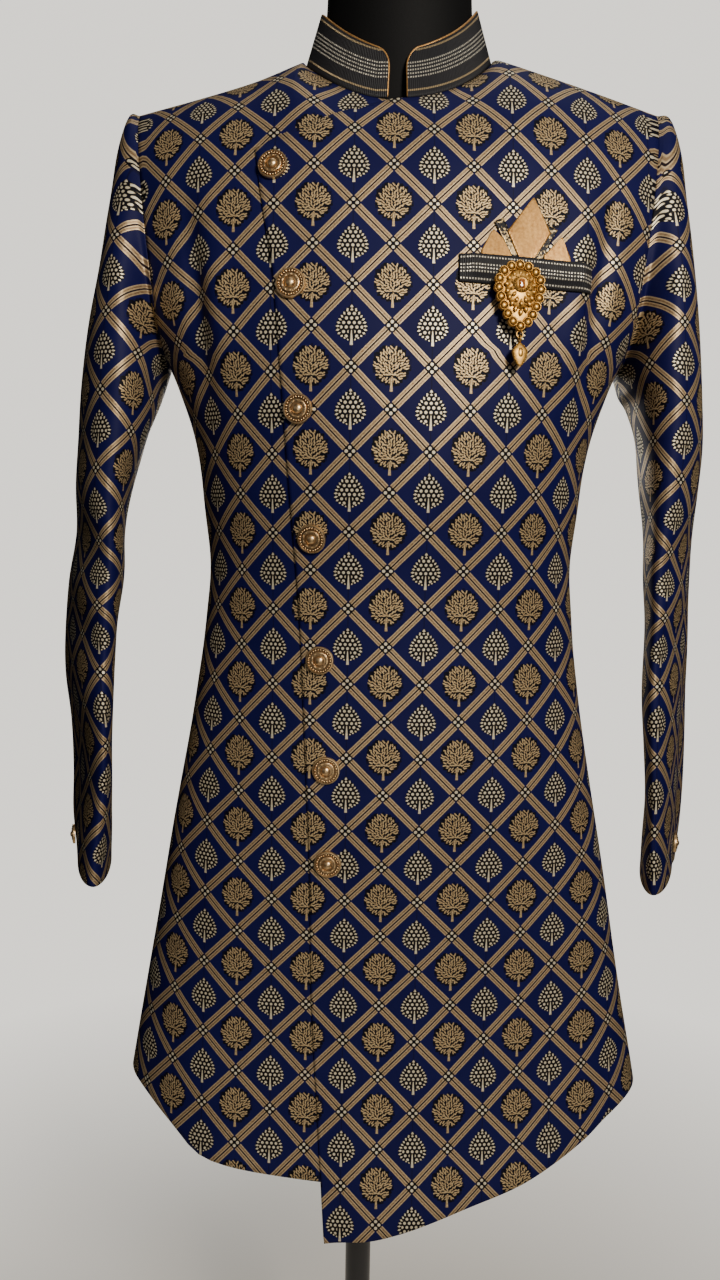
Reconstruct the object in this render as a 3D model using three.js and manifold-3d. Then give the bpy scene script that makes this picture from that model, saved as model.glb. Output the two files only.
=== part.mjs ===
// An asymmetric indo-western coat, buttoned off centre, worn by a limbless dress form on a stand.
// Millimetres, +Z up, the front faces -Y. The origin lies under the form's axis, on the floor.
// Every cloth piece is a wall of even thickness, worked out from the section tables below.
import * as THREE from 'three';
import { mergeVertices } from 'three/addons/utils/BufferGeometryUtils.js';
import Module from 'manifold-3d';

const manifold = await Module();
manifold.setup();

// Driving dimensions.
const wall = 2;
const seam = 0.3;
const roundness = 2.3;
const yoke = 1332;
const armpit = 1225;
const neck = { halfWidth: 80, front: 70, back: 62, frontHeight: 1428, sideHeight: 1482.5, backHeight: 1488,
  tilt: 2.5, top: 1594 };
const shoulder = { reach: 222.5, height: 1440, edgeTop: -122 };
const centreLap = 6;
const collar = { height: 41.5, topHalfWidth: 67.5, topFront: 62, topBack: 56, endShare: 0.36, wall: 2.4,
  rows: 4, foot: 0.2, endDrop: 0.36, endRound: 12.5, endLean: 0.05, leanReach: 45 };
const formEase = { top: 0.6, waist: 7, neckShare: 0.94, neckDrop: 7.5 };
const stand = { x: -19, poleRadius: 12.5, baseRadius: 170, baseHeight: 14, formBottom: 800 };

// The coat's body, from the hem up: half its width, and its depth before and behind the axis.
const bodySections = [
  { height: 430, halfWidth: 268, front: 116, back: 136 },
  { height: 480, halfWidth: 259, front: 108, back: 134 },
  { height: 557, halfWidth: 245, front: 94, back: 130 },
  { height: 657, halfWidth: 226, front: 84.5, back: 125 },
  { height: 754, halfWidth: 209, front: 85.5, back: 120 },
  { height: 848, halfWidth: 192, front: 91, back: 111 },
  { height: 940, halfWidth: 176, front: 93.5, back: 97 },
  { height: 1030, halfWidth: 165, front: 100, back: 84 },
  { height: 1118, halfWidth: 170, front: 117, back: 86 },
  { height: 1162, halfWidth: 177, front: 121.5, back: 92 },
  { height: 1204, halfWidth: 191, front: 122, back: 98 },
  { height: 1225, halfWidth: 200, front: 121, back: 101 },
  { height: 1270, halfWidth: 221, front: 116, back: 105 },
  { height: 1332, halfWidth: 236, front: 105, back: 105 },
];

// How far out the armhole's edge lies.
const armholeEdge = [
  { height: 1225, reach: 200 },
  { height: 1250, reach: 202 },
  { height: 1302, reach: 207.5 },
  { height: 1332, reach: 210.5 },
];

// The free edge of the upper front, which runs down the wearer's right side.
const lapEdge = [
  { height: 430, x: -48 },
  { height: 562, x: -57.5 },
  { height: 662, x: -64 },
  { height: 797, x: -67 },
  { height: 915, x: -72 },
  { height: 1020, x: -77 },
  { height: 1111, x: -84 },
  { height: 1279, x: -98 },
  { height: 1332, x: -107 },
];

// Heights of the rows of points below the yoke, and shares of the way from the yoke to the top.
const rowHeights = [430, 480, 530, 580, 640, 700, 765, 830, 890, 940, 975, 1010, 1045, 1080, 1115, 1150,
  1187, 1225, 1232, 1248, 1272, 1302, 1332];
const topShares = [0.22, 0.45, 0.68, 0.86, 1];
const shoulderHeights = [
  { x: -222.5, height: 1438 },
  { x: -168, height: 1450.5 },
  { x: -122, height: 1463.5 },
  { x: -80, height: 1480 },
  { x: -40, height: 1494 },
  { x: 40, height: 1494 },
  { x: 80, height: 1485 },
  { x: 122, height: 1473.5 },
  { x: 168, height: 1460.5 },
  { x: 222.5, height: 1444.5 },
];

// Hems and the slanted top of the upper front, seen from the front.
const upperFrontHem = [[-90, 440], [-48, 455], [-4, 460], [44, 474], [76, 484], [124, 500], [159, 516],
  [188, 532], [208, 546], [236, 557], [275, 560]];
const underFrontHem = [[-275, 570], [-229, 562], [-200, 545], [-184, 533], [-169, 521], [-151, 515],
  [-105, 509], [-54, 506], [40, 505]];
const backHem = [[-275, 570], [-229, 562], [-195, 540], [-150, 524], [-80, 512], [0, 508], [80, 512],
  [150, 524], [195, 540], [229, 562], [275, 570]];
const lapTop = [[-117.6, 1382], [-96, 1393], [-47, 1414], [-20, 1423], [-3, 1428], [-1, 1500]];

// Each sleeve's sections from the armhole down. A row holds the two ends of the section's width, outer
// x and z and inner x and z, as seen from the front, its depth before and behind them, and how far its
// front is turned in towards the body. The wearer's right sleeve is -1 and the left one 1.
const sleeveRows = {
  [-1]: [
    [233.7, 1427, 201.5, 1223, 57, 57, 0], [248, 1368, 202.5, 1219, 66, 64, 0],
    [260, 1310, 204, 1213, 73, 70, 4], [272.7, 1258, 206, 1205, 77, 74, 8],
    [282.2, 1206, 209.2, 1192, 78, 76, 12], [289.3, 1160, 217.7, 1160, 77, 76, 17],
    [295.8, 1118, 228.4, 1118, 76, 73, 21], [299.8, 1075, 232.3, 1075, 76, 70, 25],
    [307.5, 1030, 234.6, 1030, 76, 68, 28], [313.3, 986, 239.6, 986, 77, 64, 30],
    [315.1, 940, 242.3, 940, 78, 60, 31], [310.6, 894, 243.2, 894, 79, 56, 30],
    [307.4, 848, 244.8, 848, 79, 53, 26.8], [306, 808, 249, 808, 79, 50, 22.5],
    [301.7, 768, 252.7, 766, 78, 47, 18.4],
  ],
  1: [
    [237.1, 1427, 201.5, 1223, 57, 57, 0], [251.6, 1368, 202.5, 1219, 66, 64, 0],
    [262.8, 1310, 204, 1213, 73, 70, 4], [271.8, 1258, 206, 1205, 77, 74, 8],
    [279.5, 1206, 212, 1192, 78, 76, 12], [286.6, 1160, 217.1, 1160, 77, 76, 17],
    [288, 1118, 220, 1118, 76, 73, 21], [289.7, 1075, 221.6, 1075, 76, 70, 25],
    [290.9, 1030, 222.2, 1030, 76, 68, 28], [294, 986, 223.3, 986, 77, 64, 30],
    [295, 940, 223.3, 940, 78, 60, 31], [296.3, 894, 226.1, 894, 79, 56, 31],
    [296.1, 848, 229.3, 848, 79, 53, 29.6], [294, 808, 230, 808, 79, 50, 28],
    [290, 768, 232, 766, 78, 47, 24.5],
  ],
};
const sleeveSections = (side) => sleeveRows[side]
  .map(([outerX, outerZ, innerX, innerZ, front, back, turn]) => ({ outerX, outerZ, innerX, innerZ, front, back, turn }));
const sleeveHead = { [-1]: 6, 1: 10 };
const elbowCreases = [
  { ring: 7, depth: 2.5 },
  { ring: 9, depth: 3 },
];

const buttonPlaces = [[-100, 1368], [-84, 1274], [-77, 1178], [-66, 1076], [-59, 974], [-53, 879],
  [-51, 795]];
const button = { radius: 12.5, height: 6.5, stand: 0.6 };
const cuffButton = { radius: 9.5, height: 5.5, z: 796, round: 0.25, stand: 0.2 };
const welt = { left: 47, right: 154.5, top: [1298, 1295.5], bottom: [1277, 1274], bulge: 3.4, wall: 1.6 };
const pocketSquares = [
  { name: 'pocket_square_right', foot: [63, 93, 1290], apex: [74, 1319], waist: [65, 92, 1303],
    offset: 0.35 },
  { name: 'pocket_square_left', foot: [114, 138, 1290], apex: [129.5, 1316], waist: [115, 136, 1301],
    offset: 0.35 },
  { name: 'pocket_square_middle', foot: [97.4, 101.6, 1290], apex: [105.5, 1345], waist: [85, 119.5, 1318],
    offset: 1.95 },
];
const squareWall = 1.2;
const brooch = { x: 93, z: 1273, back: 5.9, settings: 18, setting: 3.9, halfWidth: 17.4, rise: 16.4,
  fall: 31.2, taper: 0.25 };
const link = { radius: 2.6, wire: 0.7, below: 37.2, out: 1.4 };
const drop = { length: 19.5, halfWidth: 6.6, halfThick: 2.2 };

const sum = (a, b, share = 1) => a.clone().addScaledVector(b, share);
const mix = THREE.MathUtils.lerp;
const clamp = THREE.MathUtils.clamp;

// The value of a table's column at some place along another column: a cubic through the rows.
function lookUp(rows, along, column, place) {
  const last = rows.length - 1;
  const at = clamp(place, rows[0][along], rows[last][along]);
  let i = 0;
  while (i < last - 1 && rows[i + 1][along] < at) i += 1;
  const slope = (j) => {
    const low = rows[Math.max(j - 1, 0)];
    const high = rows[Math.min(j + 1, last)];
    return (high[column] - low[column]) / (high[along] - low[along]);
  };
  const span = rows[i + 1][along] - rows[i][along];
  const t = (at - rows[i][along]) / span;
  const rise = t * t * (3 - 2 * t);
  return mix(rows[i][column], rows[i + 1][column], rise)
    + span * t * (1 - t) * ((1 - t) * slope(i) - t * slope(i + 1));
}

const smooth = (share) => {
  const t = clamp(share, 0, 1);
  return t * t * (3 - 2 * t);
};

// The angle round a section at which it reaches x, from 0 at the middle to a quarter turn at the side.
function sectionAngle(x, height) {
  const share = clamp(Math.abs(x) / lookUp(bodySections, 'height', 'halfWidth', height), 0, 1);
  return Math.sign(x) * Math.asin(share ** (roundness / 2));
}

function edgeAngle(height) {
  if (height <= armpit) return Math.PI / 2;
  return sectionAngle(lookUp(armholeEdge, 'height', 'reach', height), height);
}

function sectionPoint(face, angle, height) {
  const halfWidth = lookUp(bodySections, 'height', 'halfWidth', height);
  const depth = lookUp(bodySections, 'height', face, height);
  const side = face === 'front' ? -1 : 1;
  const x = Math.sign(angle) * halfWidth * Math.abs(Math.sin(angle)) ** (2 / roundness);
  const y = side * depth * Math.max(Math.cos(angle), 0) ** (2 / roundness);
  return new THREE.Vector3(x, side * Math.max(Math.abs(y), seam / 2), height);
}

// Columns run from the wearer's right side seam to the left one. Each group of columns has its own
// two edges, so that the lap's edge and the centre line are columns of points.
const columnGroups = { lap: 5, corner: 6, centre: 11, rightCorner: 16, last: 21 };

function columnAngle(face, column, height) {
  const edge = edgeAngle(height);
  const { lap, centre, last } = columnGroups;
  if (face === 'back') return mix(-edge, edge, column / last);
  const lapAngle = sectionAngle(lookUp(lapEdge, 'height', 'x', height), height);
  const centreAngle = sectionAngle(centreLap, height);
  if (column <= lap) return mix(-edge, lapAngle, column / lap);
  if (column <= centre) return mix(lapAngle, centreAngle, (column - lap) / (centre - lap));
  return mix(centreAngle, edge, (column - centre) / (last - centre));
}

// Where a column ends at the top, and the direction in which it arrives there.
function shoulderTop(x) {
  const height = lookUp(shoulderHeights, 'x', 'height', x);
  return { point: new THREE.Vector3(x, 0, height), rise: 0 };
}

function neckTop(face, angle) {
  const side = face === 'front' ? -1 : 1;
  const far = face === 'front' ? neck.frontHeight : neck.backHeight;
  const level = Math.abs(Math.cos(angle));
  const y = side * neck[face] * level;
  const height = mix(neck.sideHeight + neck.tilt * Math.sin(angle), far, level ** 1.5);
  const point = new THREE.Vector3(neck.halfWidth * Math.sin(angle), y, height);
  return { point, rise: (face === 'front' ? 1.05 : 1.15) * level };
}

function columnTop(face, column) {
  const { lap, corner, centre, rightCorner, last } = columnGroups;
  const quarter = Math.PI / 2;
  const middle = Math.asin(centreLap / neck.halfWidth);
  if (column <= lap) return shoulderTop(mix(-shoulder.reach, shoulder.edgeTop, column / lap));
  if (column <= corner) {
    return shoulderTop(mix(shoulder.edgeTop, -neck.halfWidth, (column - lap) / (corner - lap)));
  }
  if (column <= centre) return neckTop(face, mix(-quarter, middle, (column - corner) / (centre - corner)));
  if (column <= rightCorner) {
    return neckTop(face, mix(middle, quarter, (column - centre) / (rightCorner - centre)));
  }
  return shoulderTop(mix(neck.halfWidth, shoulder.reach, (column - rightCorner) / (last - rightCorner)));
}

// A point of the coat's body. The level is a height up to the yoke, and past it 1 mm of level for
// each hundredth of the way to the top, along a curve that turns over the shoulder.
function bodyPoint(face, column, level) {
  if (level <= yoke) return sectionPoint(face, columnAngle(face, column, level), level);
  const side = face === 'front' ? -1 : 1;
  const start = sectionPoint(face, columnAngle(face, column, yoke), yoke);
  const below = sectionPoint(face, columnAngle(face, column, yoke - 4), yoke - 4);
  const leave = start.clone().sub(below).normalize();
  const { point: end, rise } = columnTop(face, column);
  const arrive = new THREE.Vector3(0, -side * Math.cos(rise), Math.sin(rise));
  const climb = end.z - start.z;
  const inward = Math.abs(end.y - start.y);
  const grip = mix(0.55 * inward, 0.38 * Math.hypot(climb, inward), Math.sin(rise));
  const curve = new THREE.CubicBezierCurve3(start, sum(start, leave, 0.55 * climb),
    sum(end, arrive, -grip), end);
  const point = curve.getPoint(Math.min((level - yoke) / 100, 1));
  point.y = side * Math.max(Math.abs(point.y), seam / 2);
  return point;
}

const topLevel = yoke + 100;

// The direction that points out of the coat at a place on its body.
function bodyNormal(face, column, level) {
  const { last } = columnGroups;
  const small = 0.02;
  const across = sum(bodyPoint(face, Math.min(column + small, last), level),
    bodyPoint(face, Math.max(column - small, 0), level), -1);
  const upward = sum(bodyPoint(face, column, Math.min(level + small, topLevel)),
    bodyPoint(face, column, Math.max(level - small, 400)), -1);
  if (level <= armpit && (column === 0 || column === last)) {
    across.set(0, (column === 0) === (face === 'front') ? -1 : 1, 0);
  }
  if (level === topLevel) {
    const { rise } = columnTop(face, column);
    upward.set(0, (face === 'front' ? 1 : -1) * Math.cos(rise), Math.sin(rise));
  }
  const normal = across.cross(upward).normalize();
  return face === 'front' ? normal : normal.negate();
}

const bodyLevels = [...rowHeights, ...topShares.map((share) => yoke + 100 * share)];

// The upper front lies on the under front as far as the centre line, and level with it past that.
function lapLift(x) {
  return (wall + seam) * (1 - smooth((x - 14) / 60));
}

// A sheet's outer and inner points, in rows.
function bodySheet(face, columns, lift) {
  const rowsOf = (depth) => bodyLevels.map((level) => columns.map((column) => {
    const point = bodyPoint(face, column, level);
    return sum(point, bodyNormal(face, column, level), lift(point.x) - depth);
  }));
  return { outer: rowsOf(0), inner: rowsOf(wall) };
}

// A closed wall between two matching grids of points. A ring's rows close on themselves.
function wallSolid({ outer, inner }, ring = false) {
  const rows = outer.length;
  const across = outer[0].length;
  const positions = [...outer, ...inner].flatMap((row) => row.flatMap((p) => [p.x, p.y, p.z]));
  const faces = [];
  const spot = (layer, row, column) => layer * rows * across + row * across + (column % across);
  const quad = (a, b, c, d) => faces.push(a, b, c, a, c, d);
  const columns = ring ? across : across - 1;
  for (let row = 0; row < rows - 1; row += 1) {
    for (let column = 0; column < columns; column += 1) {
      quad(spot(0, row, column), spot(0, row, column + 1),
        spot(0, row + 1, column + 1), spot(0, row + 1, column));
      quad(spot(1, row, column), spot(1, row + 1, column),
        spot(1, row + 1, column + 1), spot(1, row, column + 1));
    }
  }
  for (let column = 0; column < columns; column += 1) {
    quad(spot(0, 0, column), spot(1, 0, column), spot(1, 0, column + 1), spot(0, 0, column + 1));
    quad(spot(0, rows - 1, column), spot(0, rows - 1, column + 1), spot(1, rows - 1, column + 1),
      spot(1, rows - 1, column));
  }
  if (!ring) {
    for (let row = 0; row < rows - 1; row += 1) {
      quad(spot(0, row, 0), spot(0, row + 1, 0), spot(1, row + 1, 0), spot(1, row, 0));
      quad(spot(0, row, across - 1), spot(1, row, across - 1), spot(1, row + 1, across - 1),
        spot(0, row + 1, across - 1));
    }
  }
  const geometry = new THREE.BufferGeometry();
  geometry.setAttribute('position', new THREE.Float32BufferAttribute(positions, 3));
  geometry.setIndex(faces);
  return turnedOut(geometry);
}

// Turns a closed geometry's faces outwards, if they point in.
function turnedOut(geometry) {
  const p = geometry.getAttribute('position');
  const index = geometry.getIndex();
  const corner = (i) => new THREE.Vector3().fromBufferAttribute(p, index.getX(i));
  let volume = 0;
  for (let i = 0; i < index.count; i += 3) volume += corner(i).dot(corner(i + 1).cross(corner(i + 2)));
  if (volume < 0) {
    for (let i = 0; i < index.count; i += 3) {
      const held = index.getX(i + 1);
      index.setX(i + 1, index.getX(i + 2));
      index.setX(i + 2, held);
    }
  }
  return geometry;
}

function toSolid(source) {
  const bare = source.clone();
  Object.keys(bare.attributes).filter((name) => name !== 'position')
    .forEach((name) => bare.deleteAttribute(name));
  const merged = mergeVertices(bare, 1e-4);
  return new manifold.Manifold(new manifold.Mesh({
    numProp: 3,
    vertProperties: Float32Array.from(merged.getAttribute('position').array),
    triVerts: Uint32Array.from(merged.getIndex().array),
  }));
}

function fromSolid(solid) {
  const mesh = solid.getMesh();
  const geometry = new THREE.BufferGeometry();
  geometry.setAttribute('position', new THREE.BufferAttribute(Float32Array.from(mesh.vertProperties), 3));
  geometry.setIndex(new THREE.BufferAttribute(Uint32Array.from(mesh.triVerts), 1));
  return geometry;
}

// A block through the whole coat, along Y, of an outline drawn in X and Z.
function blockThrough(outline) {
  const shape = new THREE.Shape(outline.map(([x, z]) => new THREE.Vector2(x, z)));
  const block = new THREE.ExtrudeGeometry(shape, { depth: 800, bevelEnabled: false, steps: 1 });
  block.rotateX(Math.PI / 2);
  block.translate(0, 400, 0);
  return toSolid(block);
}

const below = (line) => blockThrough([[-400, 300], [400, 300], ...[...line].reverse()]);

function cut(geometry, ...blocks) {
  return fromSolid(blocks.reduce((solid, block) => solid.subtract(block), toSolid(geometry)));
}

const range = (from, to) => Array.from({ length: to - from + 1 }, (_, i) => from + i);

function underFrontPanel() {
  const sheet = bodySheet('front', range(0, columnGroups.centre), () => 0);
  return cut(wallSolid(sheet), below([[-400, 570], ...underFrontHem, [400, 505]]));
}

function upperFrontPanel() {
  const sheet = bodySheet('front', range(columnGroups.lap, columnGroups.last), lapLift);
  const corner = blockThrough([...lapTop, [-1, 1600], [-300, 1600], [-300, 1340], [-190, 1340]]);
  return cut(wallSolid(sheet), below([[-400, 430], ...upperFrontHem, [400, 560]]), corner);
}

function backPanel() {
  const sheet = bodySheet('back', range(0, columnGroups.last), () => 0);
  return cut(wallSolid(sheet), below([[-400, 570], ...backHem, [400, 570]]));
}

// The level and column of the front panel at a place seen from the front.
function frontPlace(x, z) {
  let column = columnGroups.centre + (x / 236) * 10;
  let level = z;
  for (let step = 0; step < 12; step += 1) {
    const at = bodyPoint('front', column, level);
    const right = sum(bodyPoint('front', column + 0.01, level), at, -1).multiplyScalar(100);
    const up = sum(bodyPoint('front', column, level + 0.01), at, -1).multiplyScalar(100);
    const determinant = right.x * up.z - up.x * right.z;
    const missX = x - at.x;
    const missZ = z - at.z;
    column = clamp(column + (missX * up.z - missZ * up.x) / determinant, 0.1, columnGroups.last - 0.1);
    level = clamp(level + (missZ * right.x - missX * right.z) / determinant, 440, topLevel - 0.1);
  }
  return { column, level };
}

// A point on the upper front as seen from the front, moved out of the cloth by an offset.
function onFront(x, z, offset) {
  const { column, level } = frontPlace(x, z);
  const point = bodyPoint('front', column, level);
  const normal = bodyNormal('front', column, level);
  return { point: sum(point, normal, lapLift(point.x) + offset), normal };
}

// A thin piece that lies on the front, between four edges given as functions of a share across.
function frontPatch(across, upward, place, offset, thick) {
  const rowsOf = (extra) => range(0, upward).map((row) => range(0, across).map((column) => {
    const u = column / across;
    const v = row / upward;
    const [x, z] = place(u, v);
    return onFront(x, z, offset(u, v) + extra).point;
  }));
  return wallSolid({ outer: rowsOf(thick), inner: rowsOf(0) });
}

// The pocket's welt is sewn down at its ends and foot, and stands off at its mouth.
function weltPanel() {
  const place = (u, v) => [mix(welt.left, welt.right, u),
    mix(mix(welt.bottom[0], welt.bottom[1], u), mix(welt.top[0], welt.top[1], u), v)];
  const stand0 = (u, v) => 0.35 + welt.bulge * smooth(v / 0.5) * smooth(Math.min(u, 1 - u) / 0.12);
  return frontPatch(14, 4, place, stand0, welt.wall);
}

// A folded peak of the pocket square. Its foot is in the pocket, and from its waist it narrows to
// an apex.
function squarePeak({ foot, apex, waist, offset }) {
  const tip = 0.4;
  const place = (u, v) => {
    const turn = 0.45;
    const low = v <= turn;
    const share = low ? v / turn : (v - turn) / (1 - turn);
    const left = low ? mix(foot[0], waist[0], share) : mix(waist[0], apex[0] - tip, share);
    const right = low ? mix(foot[1], waist[1], share) : mix(waist[1], apex[0] + tip, share);
    return [mix(left, right, u), low ? mix(foot[2], waist[2], share) : mix(waist[2], apex[1], share)];
  };
  return frontPatch(3, 7, place, () => offset, squareWall);
}

// The section of a sleeve at a share of the way round, from the top of the shoulder to the front.
function sleeveRing(row, round, inset) {
  const slopeX = (row.outerX - row.innerX) / 2;
  const slopeZ = (row.outerZ - row.innerZ) / 2;
  const half = Math.sqrt(Math.max(slopeX ** 2 - row.turn ** 2, 60)) - inset;
  const c = Math.cos(round);
  const s = Math.sin(round);
  const depth = (s > 0 ? row.front : row.back) - inset;
  return new THREE.Vector3((row.outerX + row.innerX) / 2 + half * c - row.turn * s,
    -depth * s, (row.outerZ + row.innerZ) / 2 + slopeZ * c);
}

// The armhole's points from the shoulder down the front to the armpit and up the back.
function armholeLoop(side) {
  const levels = bodyLevels.filter((level) => level >= armpit);
  const column = side > 0 ? columnGroups.last : 0;
  const front = [...levels].reverse().map((level) => bodyPoint('front', column, level));
  const back = levels.slice(1, -1).map((level) => bodyPoint('back', column, level));
  return [...front, ...back].map((p) => p.setX(side * p.x));
}

// A place on the outer surface of a sleeve, and the way out of the cloth there.
function onSleeve(side, z, round, offset) {
  const at = (height, turn) => {
    const rows = sleeveSections(side).reverse();
    const row = Object.fromEntries(Object.keys(rows[0])
      .map((key) => [key, lookUp(rows, 'outerZ', key, height)]));
    const point = sleeveRing(row, turn, 0);
    return point.setX(side * point.x);
  };
  const point = at(z, round);
  const around = sum(at(z, round + 0.05), at(z, round - 0.05), -1);
  const down = sum(at(z - 5, round), at(z + 5, round), -1);
  const normal = around.cross(down).normalize();
  if (normal.x * side < 0) normal.negate();
  return { point: sum(point, normal, offset), normal };
}

function sleeveTube(side) {
  const loop = armholeLoop(side);
  const frontCount = (loop.length) / 2;
  const rounds = loop.map((_, i) => (i / frontCount) * Math.PI);
  const hole = loop.map((p) => new THREE.Vector3(p.x + 0.5, p.y, p.z));
  const middle = new THREE.Vector3(208, 0, (armpit + shoulder.height) / 2);
  const innerHole = hole.map((p) => {
    const inward = sum(middle, p, -1).setX(0).normalize();
    return sum(p, inward, wall);
  });
  const crease = (i) => elbowCreases.reduce((total, { ring, depth }) => total + (ring === i ? depth : 0), 0);
  const sections = sleeveSections(side);
  sections[0].outerZ += sleeveHead[side];
  const rings = (inset) => sections.map((row, i) => rounds.map((round) => {
    const pinch = crease(i) * Math.max(Math.sin(round), 0);
    return sleeveRing(row, round, inset + pinch);
  }));
  const mirrored = (rows) => rows.map((row) => row.map((p) => new THREE.Vector3(side * p.x, p.y, p.z)));
  const outer = mirrored([hole, ...rings(0)]);
  return wallSolid({ outer, inner: mirrored([innerHole, ...rings(wall)]) }, true);
}

// The collar's feet: the top edges of the panels it is sewn to, from its front end on the upper front
// round the back to the other end, on the under front.
function collarFeet() {
  const { corner, centre, rightCorner } = columnGroups;
  const edge = (face, column) => sum(bodyPoint(face, column, topLevel), bodyNormal(face, column, topLevel),
    face === 'front' && column >= centre ? lapLift(bodyPoint(face, column, topLevel).x) : 0);
  const end = edge('front', centre - 1).lerp(edge('front', centre), collar.endShare);
  const between = (from, to, shares) => shares.map((share) => from.clone().lerp(to, share));
  return [
    edge('front', centre),
    ...between(edge('front', centre), edge('front', centre + 1), [0.1, 0.25, 0.45, 0.7]),
    ...range(centre + 1, rightCorner).map((column) => edge('front', column)),
    ...range(corner + 1, rightCorner - 1).reverse().map((column) => edge('back', column)),
    ...range(corner, centre - 2).map((column) => edge('front', column)),
    ...between(edge('front', centre - 2), edge('front', centre - 1), [0.4, 0.7]),
    edge('front', centre - 1),
    ...between(edge('front', centre - 1), end, [0.4, 0.75]),
    end,
  ];
}

// The collar leans in towards its top, and its two front ends are rounded off.
function collarBand() {
  const feet = collarFeet();
  const rounds = feet.map((foot) => {
    const depth = foot.y < 0 ? neck.front : neck.back;
    return Math.atan2(foot.x / neck.halfWidth, -foot.y / depth);
  });
  const lengths = feet.map((foot, i) => (i === 0 ? 0 : foot.distanceTo(feet[i - 1])));
  lengths.forEach((length, i) => { if (i > 0) lengths[i] += lengths[i - 1]; });
  const whole = lengths[lengths.length - 1];
  const rowsOf = (inset) => range(0, collar.rows).map((row) => feet.map((foot, i) => {
    const round = rounds[i];
    const out = new THREE.Vector3(Math.sin(round), -Math.cos(round), 0);
    const topDepth = Math.cos(round) > 0 ? collar.topFront : collar.topBack;
    const fromEnd = Math.min(lengths[i], whole - lengths[i]);
    const rounded = collar.endDrop * (1 - Math.sqrt(1 - clamp(1 - fromEnd / collar.endRound, 0, 1) ** 2));
    const lean = collar.endLean * clamp(1 - fromEnd / collar.leanReach, 0, 1) ** 2;
    const share = (row / collar.rows) * (1 - rounded - lean);
    const head = new THREE.Vector3(collar.topHalfWidth * out.x, topDepth * out.y, foot.z + collar.height);
    const point = sum(foot.clone().lerp(head, share), out, seam - inset);
    point.z += seam + collar.foot;
    return point;
  }));
  return wallSolid({ outer: rowsOf(0), inner: rowsOf(collar.wall) });
}

// Turned button with a rolled rim, a beaded ring, an inner ring and a low dome.
function buttonSolid(radius, height, sides) {
  const profile = [[0, 0], [0.9, 0], [1, 0.35], [0.93, 0.6], [0.62, 0.5], [0.5, 0.85], [0.3, 0.8], [0, 1]];
  return lathe(profile.map(([r, h]) => [r * radius, h * height]), sides).rotateX(Math.PI / 2);
}

// Turns a mesh drawn in X and Y, with Z towards the viewer, to lie on the cloth the right way up.
function placed(mesh, { point, normal }) {
  const up = sum(new THREE.Vector3(0, 0, 1), normal, -normal.z).normalize();
  const right = new THREE.Vector3().crossVectors(up, normal);
  mesh.quaternion.setFromRotationMatrix(new THREE.Matrix4().makeBasis(right, up, normal));
  mesh.position.copy(point);
  return mesh;
}

const finishes = {
  brocade: new THREE.MeshStandardMaterial({ color: 0x26284f, roughness: 0.6 }),
  band: new THREE.MeshStandardMaterial({ color: 0x17161c, roughness: 0.55 }),
  satin: new THREE.MeshStandardMaterial({ color: 0xc29a62, roughness: 0.4 }),
  gold: new THREE.MeshStandardMaterial({ color: 0xb8813a, roughness: 0.35, metalness: 0.9 }),
  form: new THREE.MeshStandardMaterial({ color: 0x0b0c0e, roughness: 0.6 }),
  stand: new THREE.MeshStandardMaterial({ color: 0x101114, roughness: 0.4, metalness: 0.6 }),
};

function piece(name, geometry, material) {
  const mesh = new THREE.Mesh(geometry, finishes[material]);
  mesh.name = name;
  return mesh;
}

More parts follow.
